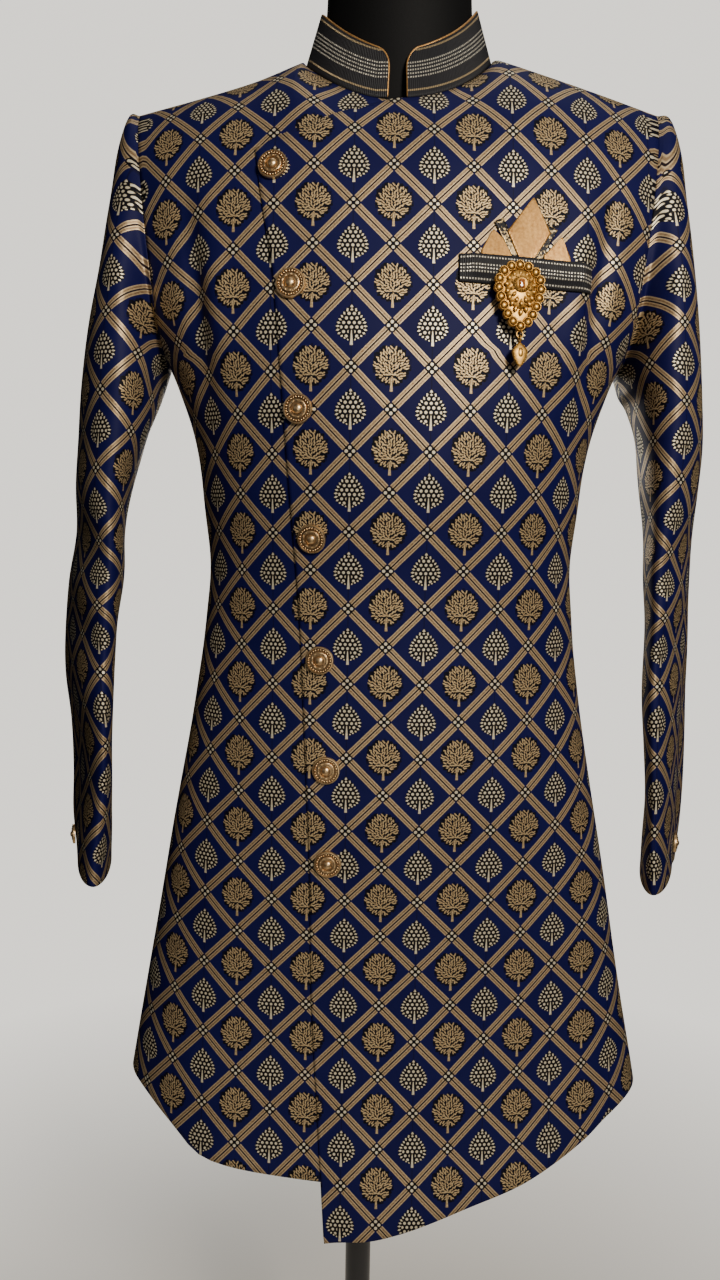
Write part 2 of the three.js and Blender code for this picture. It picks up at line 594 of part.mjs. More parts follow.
// The form under the coat: the coat's own body, smaller by its wall and some ease, with rounded arm
// ends, a flat foot and a plain neck.
function formTorso() {
  const columns = columnGroups.last;
  const levels = [stand.formBottom, ...bodyLevels.filter((level) => level > stand.formBottom + 20)];
  const rounding = (i) => {
    const t = Math.abs(i / (columns / 2) - 1);
    return t > 0.99 ? 0 : Math.sqrt(1 - clamp((t - 0.62) / 0.38, 0, 1) ** 2);
  };
  const pointOf = (face, i, level) => {
    const point = bodyPoint(face, i, level);
    const ease = mix(formEase.waist, formEase.top, smooth((level - 1150) / 230));
    const inner = sum(point, bodyNormal(face, i, level), -(wall + ease));
    if (level === stand.formBottom) inner.z = level;
    if (level > 1190) {
      const close = mix(1, rounding(i), smooth((level - 1190) / 60));
      inner.y *= close;
      inner.x -= Math.sign(inner.x) * 7 * (1 - close);
    }
    if (i === 0 || i === columns) inner.y = 0;
    if (level === topLevel && i >= columnGroups.corner && i <= columnGroups.rightCorner) {
      inner.multiply(new THREE.Vector3(formEase.neckShare, formEase.neckShare, 1));
      inner.z -= formEase.neckDrop;
    }
    return inner;
  };
  const neckRings = [
    { rise: 9, halfWidth: 71, front: 61.5, back: 57 },
    { rise: 24, halfWidth: 65.5, front: 58.5, back: 53.5 },
    { rise: 58, halfWidth: 62.5, front: 56.5, back: 51.5 },
    { rise: 102, halfWidth: 62.5, front: 56.5, back: 51.5 },
    { rise: 109.5, halfWidth: 58, front: 52, back: 47 },
  ];
  const rings = levels.map((level) => [
    ...range(0, columns).map((i) => pointOf('front', i, level)),
    ...range(1, columns - 1).reverse().map((i) => pointOf('back', i, level)),
  ]);
  const across = rings[0].length;
  const positions = [];
  const faces = [];
  const spots = rings.map((ring) => ring.map((p) => positions.push(p) - 1));
  for (let row = 0; row < rings.length - 1; row += 1) {
    for (let i = 0; i < across; i += 1) {
      const j = (i + 1) % across;
      const [a, b, c, d] = [spots[row][i], spots[row][j], spots[row + 1][j], spots[row + 1][i]];
      if (i < columns) faces.push([a, b, c], [a, c, d]);
      else faces.push([a, b, d], [b, c, d]);
    }
  }
  const top = spots[spots.length - 1];
  const back = (i) => (across - i) % across;
  // Front and back meet along each shoulder, outside the neck.
  const first = columnGroups.corner;
  const second = columnGroups.rightCorner;
  const seamed = new Map();
  for (const i of [...range(0, first), ...range(second, columns)]) {
    const point = positions[top[i]];
    point.y = 0;
    if (back(i) !== i) seamed.set(top[back(i)], top[i]);
  }
  // The neck rises from the points between.
  const neckLoop = [...range(first, second), ...range(first + 1, second - 1).reverse().map(back)];
  let lower = neckLoop.map((i) => top[i]);
  const starts = lower.map((i) => positions[i].clone());
  neckRings.forEach(({ rise, halfWidth, front, back: behind }) => {
    const upper = starts.map((start) => {
      const round = Math.atan2(start.x / neck.halfWidth, -start.y / (start.y < 0 ? neck.front : neck.back));
      const depth = Math.cos(round) >= 0 ? front : behind;
      const height = mix(start.z, neck.sideHeight, smooth(rise / 102)) + rise;
      const spot = new THREE.Vector3(halfWidth * Math.sin(round), -depth * Math.cos(round), height);
      return positions.push(spot) - 1;
    });
    for (let i = 0; i < lower.length; i += 1) {
      const j = (i + 1) % lower.length;
      faces.push([lower[i], lower[j], upper[j]], [lower[i], upper[j], upper[i]]);
    }
    lower = upper;
  });
  const cap = (loop, centre) => {
    const middle = positions.push(centre) - 1;
    loop.forEach((a, i) => faces.push([a, loop[(i + 1) % loop.length], middle]));
  };
  cap(lower, new THREE.Vector3(0, 2, neck.top));
  cap([...spots[0]].reverse(), new THREE.Vector3(0, 0, stand.formBottom));
  const index = faces.map((face) => face.map((i) => seamed.get(i) ?? i))
    .filter(([a, b, c]) => a !== b && b !== c && a !== c).flat();
  const geometry = new THREE.BufferGeometry();
  const numbers = positions.flatMap((p) => [p.x, p.y, p.z]);
  geometry.setAttribute('position', new THREE.Float32BufferAttribute(numbers, 3));
  geometry.setIndex(index);
  return turnedOut(geometry);
}

function disc(radiusLow, radiusHigh, low, high, sides) {
  const shape = new THREE.CylinderGeometry(radiusHigh, radiusLow, high - low, sides);
  return shape.rotateX(Math.PI / 2).translate(stand.x, 0, (low + high) / 2);
}

const lathe = (profile, sides) => new THREE.LatheGeometry(
  profile.map(([r, h]) => new THREE.Vector2(r, h)), sides);

function joined(...geometries) {
  return fromSolid(geometries.map(toSolid).reduce((whole, next) => whole.add(next)));
}

// Evenly spaced places round the brooch, from its lowest one, on an outline that tapers to its foot.
function broochOutline(count) {
  const fine = range(0, 720).map((i) => {
    const turn = (i / 720) * 2 * Math.PI - Math.PI / 2;
    const low = Math.max(-Math.sin(turn), 0);
    const tall = low > 0 ? brooch.fall : brooch.rise;
    const wide = brooch.halfWidth * (1 - brooch.taper * low);
    return new THREE.Vector2(wide * Math.cos(turn), tall * Math.sin(turn));
  });
  const lengths = [0];
  fine.slice(1).forEach((p, i) => lengths.push(lengths[i] + p.distanceTo(fine[i])));
  const at = (share) => fine[lengths.findIndex((length) => length >= share * lengths[720])];
  return range(0, count - 1).map((k) => at(k / count));
}

// The brooch: a shield of round settings about a domed middle, with a ring below for its drop.
function broochSolid() {
  const places = broochOutline(brooch.settings);
  const plate = new THREE.ExtrudeGeometry(new THREE.Shape(places), { depth: 2.4, bevelEnabled: false });
  const dome = lathe([[0, 0], [14, 0], [13.5, 3.2], [10, 5.2], [8.2, 5], [6.5, 7.4], [3.6, 8.8], [0, 9.2]], 16)
    .rotateX(Math.PI / 2).scale(1, 1.25, 1).translate(0, -3, 0);
  const r = brooch.setting;
  const setting = ({ x, y }) => lathe([[0, 0.9], [r, 0.9], [r, 3.3], [2.6, 4.4], [0, 4.4]], 8)
    .rotateX(Math.PI / 2).translate(x, y, 0);
  const ring = new THREE.TorusGeometry(link.radius, link.wire, 6, 14).translate(0, -link.below, link.out);
  return joined(plate, dome, ...places.map(setting), ring);
}

// The drop hangs from the brooch's ring by a ring of its own, with its hinge in the first one's middle.
function dropSolid() {
  const loopDepth = 2 * link.radius - 2 * link.wire - seam;
  const loop = new THREE.TorusGeometry(link.radius, link.wire, 6, 14).rotateY(Math.PI / 2)
    .translate(0, -loopDepth, 0);
  const top = -loopDepth - link.radius + 0.2;
  const { length, halfWidth, halfThick } = drop;
  const bead = lathe([[0, 0], [0.16, 0.03], [0.6, 0.16], [0.95, 0.32], [1, 0.44], [0.76, 0.7], [0.34, 0.92],
    [0, 1]].map(([r, h]) => [r * halfWidth, h * length]), 12);
  return joined(loop, bead.rotateX(Math.PI).scale(1, 1, halfThick / halfWidth).translate(0, top, 0));
}

const garment = new THREE.Group();
garment.add(
  piece('front_under', underFrontPanel(), 'brocade'),
  piece('front_upper', upperFrontPanel(), 'brocade'),
  piece('back', backPanel(), 'brocade'),
  piece('sleeve_right', sleeveTube(-1), 'brocade'),
  piece('sleeve_left', sleeveTube(1), 'brocade'),
  piece('collar', collarBand(), 'band'),
  piece('pocket_welt', weltPanel(), 'band'),
);

buttonPlaces.forEach(([x, z], i) => {
  const mesh = piece(`button_${i + 1}`, buttonSolid(button.radius, button.height, 14), 'gold');
  garment.add(placed(mesh, onFront(x, z, button.stand)));
});

const frame = new THREE.Group();
frame.add(
  piece('form_torso', formTorso(), 'form'),
  piece('stand_pole', disc(stand.poleRadius, stand.poleRadius, stand.baseHeight + seam,
    stand.formBottom - seam, 20), 'stand'),
  piece('stand_base', disc(stand.baseRadius, stand.baseRadius - 4, 0, stand.baseHeight, 40), 'stand'),
);

[['right', -1], ['left', 1]].forEach(([name, side]) => {
  const mesh = piece(`cuff_button_${name}`, buttonSolid(cuffButton.radius, cuffButton.height, 12), 'gold');
  garment.add(placed(mesh, onSleeve(side, cuffButton.z, cuffButton.round, cuffButton.stand)));
});

pocketSquares.forEach((square) => garment.add(piece(square.name, squarePeak(square), 'satin')));

const pinned = new THREE.Group();
placed(pinned, onFront(brooch.x, brooch.z, brooch.back));
const hanging = piece('brooch_drop', dropSolid(), 'gold');
hanging.position.set(0, -link.below, link.out);
pinned.add(piece('brooch', broochSolid(), 'gold'), hanging);

const part = new THREE.Group();
part.add(garment, pinned, frame);

export default part;
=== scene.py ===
# An asymmetric brocade coat, buttoned off centre, on a limbless dress form with a pole and a round base.
# Shapes are worked out in millimetres and become metres when a mesh is made. +Z is up, the front faces -Y.
import math
import bpy
import numpy as np
from mathutils import Matrix, Vector


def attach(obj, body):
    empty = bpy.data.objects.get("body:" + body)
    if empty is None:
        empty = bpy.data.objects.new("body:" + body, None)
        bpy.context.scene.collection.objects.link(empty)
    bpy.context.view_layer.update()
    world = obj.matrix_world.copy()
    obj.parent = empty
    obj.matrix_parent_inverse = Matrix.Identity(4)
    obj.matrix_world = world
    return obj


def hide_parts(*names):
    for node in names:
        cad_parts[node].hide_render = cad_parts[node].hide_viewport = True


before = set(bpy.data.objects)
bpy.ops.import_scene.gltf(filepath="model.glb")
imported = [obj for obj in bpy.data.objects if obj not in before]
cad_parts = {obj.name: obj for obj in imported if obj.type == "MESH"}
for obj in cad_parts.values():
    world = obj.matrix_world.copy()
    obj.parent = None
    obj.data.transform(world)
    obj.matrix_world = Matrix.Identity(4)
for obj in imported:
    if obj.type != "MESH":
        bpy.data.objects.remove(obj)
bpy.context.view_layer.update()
print("frame loaded:", len(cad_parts), "nodes")

mm = 0.001


def linear(hexColour):
    parts = [int(hexColour[i:i + 2], 16) / 255 for i in (1, 3, 5)]
    return [p / 12.92 if p <= 0.04045 else ((p + 0.055) / 1.055) ** 2.4 for p in parts] + [1.0]


def addNode(tree, kind, settings=None, links=None):
    node = tree.nodes.new(kind)
    for name, value in (settings or {}).items():
        setattr(node, name, value)
    for socket, value in (links or {}).items():
        if isinstance(value, bpy.types.NodeSocket):
            tree.links.new(value, node.inputs[socket])
        else:
            node.inputs[socket].default_value = value
    return node


# Sums are written as steps: a name, an operation and its numbers or earlier names.
def workOut(tree, known, steps):
    for name, operation, *values in steps:
        held = operation.startswith("held ")
        node = addNode(tree, "ShaderNodeMath", {"operation": operation.split()[-1], "use_clamp": held},
                       {i: known.get(v, v) if isinstance(v, str) else v for i, v in enumerate(values)})
        known[name] = node.outputs[0]
    return known


# Colours are laid one over another: a name, the share of the second one, and two colours or earlier names.
def layColours(tree, known, layers):
    for name, share, *pair in layers:
        one, two = (known[colour] if colour in known else linear(colour) for colour in pair)
        known[name] = addNode(tree, "ShaderNodeMix", {"data_type": "RGBA"},
                              {0: known[share], 6: one, 7: two}).outputs[2]
    return known[name]


# ---- the coat's shape ----
coat = {
    "wall": 2.0, "seam": 0.3, "roundness": 2.3, "yoke": 1332, "armpit": 1225, "centreLap": 6,
    "grainLevel": 1030, "hemAbout": 510,
    # height, half width, depth before and depth behind the axis
    "sections": [(430, 268, 116, 136), (480, 259, 108, 134), (557, 245, 94, 130), (657, 226, 84.5, 125),
                 (754, 209, 85.5, 120), (848, 192, 91, 111), (940, 176, 93.5, 97), (1030, 165, 100, 84),
                 (1118, 170, 117, 86), (1162, 177, 121.5, 92), (1204, 191, 122, 98), (1225, 200, 121, 101),
                 (1270, 221, 116, 105), (1332, 236, 105, 105)],
    "armhole": [(1225, 200), (1250, 202), (1302, 207.5), (1332, 210.5)],
    "lapEdge": [(430, -48), (562, -57.5), (662, -64), (797, -67), (915, -72), (1020, -77), (1111, -84),
                (1279, -98), (1332, -107)],
    "shoulders": [(-222.5, 1438), (-168, 1450.5), (-122, 1463.5), (-80, 1480), (-40, 1494), (40, 1494),
                  (80, 1485), (122, 1473.5), (168, 1460.5), (222.5, 1444.5)],
    "neckHalfWidth": 80, "neckDepth": {"front": 70, "back": 62}, "neckHeight": {"front": 1428, "back": 1488},
    "neckSide": 1482.5, "neckTilt": 2.5, "shoulderReach": 222.5, "lapAtShoulder": -122,
    "upperHem": [(-90, 440), (-48, 455), (-4, 460), (44, 474), (76, 484), (124, 500), (159, 516), (188, 532),
                 (208, 546), (236, 557), (275, 560)],
    "underHem": [(-275, 570), (-229, 562), (-200, 545), (-184, 533), (-169, 521), (-151, 515), (-105, 509),
                 (-54, 506), (40, 505)],
    "backHem": [(-275, 570), (-229, 562), (-195, 540), (-150, 524), (-80, 512), (0, 508), (80, 512),
                (150, 524), (195, 540), (229, 562), (275, 570)],
    "lapTop": [(-117.6, 1382), (-96, 1393), (-47, 1414), (-20, 1423), (-3, 1428), (-1, 1500)],
}
# Columns of points run from the wearer's right side to the left; these lie at edges of the pieces.
lapColumn, cornerColumn, centreColumn, rightCornerColumn, lastColumn = 5, 6, 11, 16, 21
topLevel = coat["yoke"] + 100


def lookUp(rows, place, column=1):
    table = np.array(rows, float)
    x, y = table[:, 0], table[:, column]
    last = len(x) - 1
    at = np.clip(place, x[0], x[last])
    i = np.clip(np.searchsorted(x, at) - 1, 0, last - 1)
    low = np.maximum(np.arange(last + 1) - 1, 0)
    high = np.minimum(np.arange(last + 1) + 1, last)
    slope = (y[high] - y[low]) / (x[high] - x[low])
    span = x[i + 1] - x[i]
    t = (at - x[i]) / span
    rise = t * t * (3 - 2 * t)
    return y[i] + (y[i + 1] - y[i]) * rise + span * t * (1 - t) * ((1 - t) * slope[i] - t * slope[i + 1])


def smooth(share):
    t = np.clip(share, 0, 1)
    return t * t * (3 - 2 * t)


def bump(place, middle, width):
    return np.exp(-((place - middle) / width) ** 2)


def unit(vectors):
    return vectors / np.maximum(np.linalg.norm(vectors, axis=-1, keepdims=True), 1e-9)


def sectionAngle(x, height):
    share = np.clip(np.abs(x) / lookUp(coat["sections"], height, 1), 0, 1)
    return np.sign(x) * np.arcsin(share ** (coat["roundness"] / 2))


def columnAngle(face, columns, heights):
    reach = lookUp(coat["armhole"], heights)
    edge = np.where(heights <= coat["armpit"], math.pi / 2, sectionAngle(reach, heights))
    if face == "back":
        return edge * (2 * columns / lastColumn - 1)
    lap = sectionAngle(lookUp(coat["lapEdge"], heights), heights)
    centre = sectionAngle(coat["centreLap"], heights)
    right = (columns - centreColumn) / (lastColumn - centreColumn)
    middle = (columns - lapColumn) / (centreColumn - lapColumn)
    left = columns / lapColumn
    return np.where(columns <= lapColumn, -edge + (lap + edge) * left,
                    np.where(columns <= centreColumn, lap + (centre - lap) * middle,
                             centre + (edge - centre) * right))


def sectionPoint(face, angles, heights):
    power = 2 / coat["roundness"]
    side = -1 if face == "front" else 1
    x = np.sign(angles) * lookUp(coat["sections"], heights, 1) * np.abs(np.sin(angles)) ** power
    y = lookUp(coat["sections"], heights, 2 if face == "front" else 3)
    y = y * np.maximum(np.cos(angles), 0) ** power
    return np.stack([x, side * np.maximum(y, coat["seam"] / 2), heights + 0 * x], axis=-1)


def columnTop(face, columns):
    half = coat["neckHalfWidth"]
    side = -1 if face == "front" else 1
    marks = [0, lapColumn, cornerColumn, rightCornerColumn, lastColumn]
    reach, edgeTop = coat["shoulderReach"], coat["lapAtShoulder"]
    shoulderX = np.interp(columns, marks, [-reach, edgeTop, -half, half, reach])
    shoulderZ = lookUp(coat["shoulders"], shoulderX)
    middle = math.asin(coat["centreLap"] / half)
    round_ = np.interp(columns, [cornerColumn, centreColumn, rightCornerColumn],
                       [-math.pi / 2, middle, math.pi / 2])
    level = np.abs(np.cos(round_))
    inNeck = (columns > cornerColumn) & (columns < rightCornerColumn)
    x = np.where(inNeck, half * np.sin(round_), shoulderX)
    y = np.where(inNeck, side * coat["neckDepth"][face] * level, 0)
    sideZ = coat["neckSide"] + coat["neckTilt"] * np.sin(round_)
    neckZ = sideZ + (coat["neckHeight"][face] - sideZ) * level ** 1.5
    rise = np.where(inNeck, (1.05 if face == "front" else 1.15) * level, 0)
    return np.stack([x, y, np.where(inNeck, neckZ, shoulderZ)], axis=-1), rise


# A point of the body: a level is a height up to the yoke, and above it the way along a curve to the top.
def bodyPoints(face, columns, levels):
    columns, levels = np.broadcast_arrays(np.asarray(columns, float), np.asarray(levels, float))
    yoke = coat["yoke"]
    side = -1 if face == "front" else 1
    low = np.minimum(levels, yoke)
    start = sectionPoint(face, columnAngle(face, columns, low), low)
    under = sectionPoint(face, columnAngle(face, columns, low - 4), low - 4)
    leave = unit(start - under)
    end, rise = columnTop(face, columns)
    arrive = np.stack([0 * rise, -side * np.cos(rise), np.sin(rise)], axis=-1)
    climb = end[..., 2] - start[..., 2]
    inward = np.abs(end[..., 1] - start[..., 1])
    grip = 0.55 * inward * (1 - np.sin(rise)) + 0.38 * np.hypot(climb, inward) * np.sin(rise)
    first = start + leave * (0.55 * climb)[..., None]
    second = end - arrive * grip[..., None]
    t = np.clip((levels - yoke) / 100, 0, 1)[..., None]
    curve = start * (1 - t) ** 3 + 3 * first * t * (1 - t) ** 2 + 3 * second * t ** 2 * (1 - t) + end * t ** 3
    points = np.where((levels > yoke)[..., None], curve, start)
    points[..., 1] = side * np.maximum(np.abs(points[..., 1]), coat["seam"] / 2)
    return points


def bodyNormals(face, columns, levels):
    columns, levels = np.broadcast_arrays(np.asarray(columns, float), np.asarray(levels, float))
    small = 0.02
    side = -1 if face == "front" else 1
    across = (bodyPoints(face, np.minimum(columns + small, lastColumn), levels)
              - bodyPoints(face, np.maximum(columns - small, 0), levels))
    upward = (bodyPoints(face, columns, np.minimum(levels + small, topLevel))
              - bodyPoints(face, columns, levels - small))
    atSide = (levels <= coat["armpit"]) & ((columns <= small) | (columns >= lastColumn - small))
    turn = np.where(columns < 1, side, -side)
    across[atSide] = np.stack([0 * turn, turn, 0 * turn], axis=-1)[atSide]
    rise = columnTop(face, columns)[1]
    atTop = levels >= topLevel - 0.01
    upward[atTop] = np.stack([0 * rise, -side * np.cos(rise), np.sin(rise)], axis=-1)[atTop]
    return unit(np.cross(across, upward)) * (1 if face == "front" else -1)


def lapLift(x):
    return (coat["wall"] + coat["seam"]) * (1 - smooth((x - 14) / 60))


# The cloth's own flat coordinates: across from the grain line and along it, so that a pattern drawn on
# them lies as it does on cut cloth.
def makeFlat(face, grainColumn):
    columns = np.linspace(0, lastColumn, 127)
    levels = np.concatenate([np.arange(430, coat["yoke"], 6), coat["yoke"] + np.linspace(0, 100, 31)])
    points = bodyPoints(face, columns[None, :], levels[:, None])
    step = points[:, 1:] - points[:, :-1]
    along = np.concatenate([np.zeros((len(levels), 1)), np.cumsum(np.linalg.norm(step, axis=-1), axis=1)],
                           axis=1)
    grainAlong = np.array([np.interp(grainColumn, columns, row) for row in along])
    u = along - grainAlong[:, None] + (coat["centreLap"] if face == "front" else 0)
    yokeRow = int(np.searchsorted(levels, coat["yoke"]))
    order = np.argsort(points[yokeRow, :, 0])
    for row in range(yokeRow + 1, len(levels)):
        x = points[row, :, 0]
        u[row] = np.interp(x, points[yokeRow, order, 0], u[yokeRow, order])
    rise = points[1:] - points[:-1]
    tangent = unit(np.gradient(points, axis=1))[1:]
    drift = np.sum(rise * tangent, axis=-1)
    climb = np.sqrt(np.maximum(np.sum(rise ** 2, axis=-1) - drift ** 2, 0))
    over = np.hypot(rise[..., 1], rise[..., 2])
    climb[yokeRow:] = over[yokeRow:]
    v = np.concatenate([np.zeros((1, len(columns))), np.cumsum(climb, axis=0)])
    v += coat["grainLevel"] - v[int(np.searchsorted(levels, coat["grainLevel"]))]

    def flat(columnsAt, levelsAt):
        c = np.clip(columnsAt / lastColumn * (len(columns) - 1), 0, len(columns) - 1.001)
        r = np.interp(levelsAt, levels, np.arange(len(levels)))
        c0, r0 = c.astype(int), np.minimum(r.astype(int), len(levels) - 2)
        fc, fr = c - c0, r - r0
        blend = [(r0, c0, (1 - fr) * (1 - fc)), (r0, c0 + 1, (1 - fr) * fc),
                 (r0 + 1, c0, fr * (1 - fc)), (r0 + 1, c0 + 1, fr * fc)]
        return np.stack([sum(grid[i, j] * w for i, j, w in blend) for grid in (u, v)], axis=-1)
    return flat


# Soft shapes that the cloth takes over the form: how far it stands out from its smooth section.
def settle(face, points):
    x, z = points[..., 0], points[..., 2]
    side = np.abs(x)
    low = smooth((960 - z) / 330)
    if face == "front":
        flutes = 1.9 * np.sin(x / 31 + 0.7) * low * smooth(side / 60)
    else:
        flutes = 2.2 * np.sin(x / 34) * low
    chest = -7.5 * bump(side, 171 - (1330 - z) * 0.10, 9) * bump(z, 1268, 66)
    ridge = 3.4 * bump(side, 152 - (1330 - z) * 0.10, 11) * bump(z, 1268, 66)
    waist = 0.9 * np.sin((z + side * 0.55) / 17) * bump(z, 1035, 62) * smooth((side - 62) / 60)
    hem = 0.8 * np.sin(x / 23 + z / 60) * smooth((640 - z) / 120)
    uneven = 0.45 * np.sin(x / 19 + z / 47) * np.sin(z / 71 - x / 53) * smooth((1370 - z) / 60)
    return flutes + (chest + ridge if face == "front" else 0.5 * ridge) + waist + hem + uneven


def hemLevels(face, columns, hem):
    level = np.full(columns.shape, float(coat["hemAbout"]))
    for _ in range(8):
        level = lookUp(hem, bodyPoints(face, columns, level)[:, 0])
    return level


# The slanted top of the overlap, met by each column on its way up.
def slantLevels(columns):
    low, high = np.full(columns.shape, float(coat["yoke"])), np.full(columns.shape, float(topLevel))
    for _ in range(30):
        middle = (low + high) / 2
        at = bodyPoints("front", columns, middle)
        line = np.interp(at[:, 0], *zip(*coat["lapTop"]))
        over = at[:, 2] > line
        low, high = np.where(over, low, middle), np.where(over, middle, high)
    return low


def cutOf(flat):
    first, second = flat[1:, 1:] - flat[:-1, :-1], flat[1:, :-1] - flat[:-1, 1:]
    area = np.abs(first[..., 0] * second[..., 1] - first[..., 1] * second[..., 0]).sum() / 2
    width, length = (flat[..., k].max() - flat[..., k].min() for k in (0, 1))
    return float(width * mm), float(length * mm), float(area * mm * mm)


# A wall between an outer and an inner grid of points, its edges rounded over. A ring closes on itself.
def wallPiece(name, outer, inner, flat, ring=False):
    rows, across = outer.shape[:2]
    cutOf(flat)
    edge = 0.3 * float(np.linalg.norm(outer[0, 0] - inner[0, 0]))

    def rim(loop, neighbours):
        middle = (outer[loop] + inner[loop]) / 2
        return middle + unit(middle - (outer[neighbours] + inner[neighbours]) / 2) * edge

    inside = lambda i, count: min(max(i, 1), count - 2)
    if ring:
        loops = [[(r, c) for c in range(across)] for r in (0, rows - 1)]
    else:
        loops = [[(0, c) for c in range(across)] + [(r, across - 1) for r in range(1, rows)]
                 + [(rows - 1, c) for c in range(across - 2, -1, -1)]
                 + [(r, 0) for r in range(rows - 2, 0, -1)]]
    points = [outer.reshape(-1, 3), inner.reshape(-1, 3)]
    faces, corners = [], []
    count = rows * across
    wide = across if ring else across - 1

    def quad(indices, places):
        faces.append(indices)
        corners.extend(flat[r, c] for r, c in places)

    for r in range(rows - 1):
        for c in range(wide):
            n = (c + 1) % across
            places = [(r, c), (r, c + 1), (r + 1, c + 1), (r + 1, c)]
            a, b, d, e = r * across + c, r * across + n, (r + 1) * across + n, (r + 1) * across + c
            quad([a, b, d, e], places)
            quad([count + e, count + d, count + b, count + a], places[::-1])
    start = 2 * count
    for which, loop in enumerate(loops):
        if ring:
            near = [(1 if r == 0 else rows - 2, c) for r, c in loop]
        else:
            near = [(inside(r, rows), inside(c, across)) for r, c in loop]
        take = lambda cells: tuple(np.array(cells).T)
        points.append(rim(take(loop), take(near)))
        size = len(loop)
        for i in range(size):
            j = (i + 1) % size
            (r0, c0), (r1, c1) = loop[i], loop[j]
            wrapped = across if ring and j == 0 else c1
            o0, o1, m0, m1 = r0 * across + c0, r1 * across + c1, start + i, start + j
            first, second = [o1, o0, m0, m1], [m1, m0, count + o0, count + o1]
            spots = [(r1, wrapped), (r0, c0), (r0, c0), (r1, wrapped)]
            if not ring or which == 0:
                quad(first, spots)
                quad(second, spots)
            else:
                quad(first[::-1], spots[::-1])
                quad(second[::-1], spots[::-1])
        start += size
    mesh = bpy.data.meshes.new(name)
    mesh.from_pydata((np.concatenate(points) * mm).tolist(), [], faces)
    layer = mesh.uv_layers.new(name="cut")
    layer.data.foreach_set("uv", (np.array(corners) * mm).ravel())
    walls = (rows - 1) * wide
    mesh.polygons.foreach_set("material_index", [0, 1] * walls + [0] * (len(faces) - 2 * walls))
    mesh.update()
    turnOutwards(mesh)
    mesh.polygons.foreach_set("use_smooth", [True] * len(mesh.polygons))
    piece = bpy.data.objects.new(name, mesh)
    bpy.context.collection.objects.link(piece)
    return piece


def turnOutwards(mesh):
    positions = np.empty(len(mesh.vertices) * 3)
    mesh.vertices.foreach_get("co", positions)
    positions = positions.reshape(-1, 3)
    mesh.calc_loop_triangles()
    corners = np.empty(len(mesh.loop_triangles) * 3, int)
    mesh.loop_triangles.foreach_get("vertices", corners)
    a, b, c = positions[corners.reshape(-1, 3)].transpose(1, 0, 2)
    if np.sum(a * np.cross(b, c)) < 0:
        mesh.flip_normals()


def clothPanel(name, face, columns, starts, ends, rows, lift, flat):
    shares = np.linspace(0, 1, rows)[:, None]
    levels = starts[None, :] + (ends - starts)[None, :] * shares
    columns = np.broadcast_to(columns[None, :], levels.shape)
    points = bodyPoints(face, columns, levels)
    normals = bodyNormals(face, columns, levels)
    out = lift(points[..., 0]) + settle(face, points)
    outer = points + normals * out[..., None]
    inner = points + normals * (out - coat["wall"])[..., None]
    return wallPiece(name, outer, inner, flat(columns, levels))


def spread(*marks, step=0.22):
    runs = [np.linspace(a, b, max(int(round((b - a) / step)), 2) + 1)[:-1] for a, b in zip(marks, marks[1:])]
    return np.concatenate(runs + [[float(marks[-1])]])


flatFront = makeFlat("front", centreColumn)
flatBack = makeFlat("back", lastColumn / 2)
noLift = lambda x: 0 * x

underColumns = spread(0, lapColumn, cornerColumn, centreColumn)
underFront = clothPanel("underFront", "front", underColumns,
                        hemLevels("front", underColumns, coat["underHem"]),
                        np.full(underColumns.shape, float(topLevel)), 150, noLift,
                        lambda columns, levels: flatFront(columns, levels) + np.array([2.0, 2.5]))
upperColumns = spread(lapColumn, cornerColumn, centreColumn - 1.2, centreColumn, rightCornerColumn,
                      lastColumn)
upperFront = clothPanel("upperFront", "front", upperColumns,
                        hemLevels("front", upperColumns, coat["upperHem"]),
                        slantLevels(upperColumns), 160, lapLift, flatFront)
backColumns = spread(0, cornerColumn, rightCornerColumn, lastColumn)
backPanel = clothPanel("backPanel", "back", backColumns, hemLevels("back", backColumns, coat["backHem"]),
                       np.full(backColumns.shape, float(topLevel)), 150, noLift, flatBack)
print("body panels made")


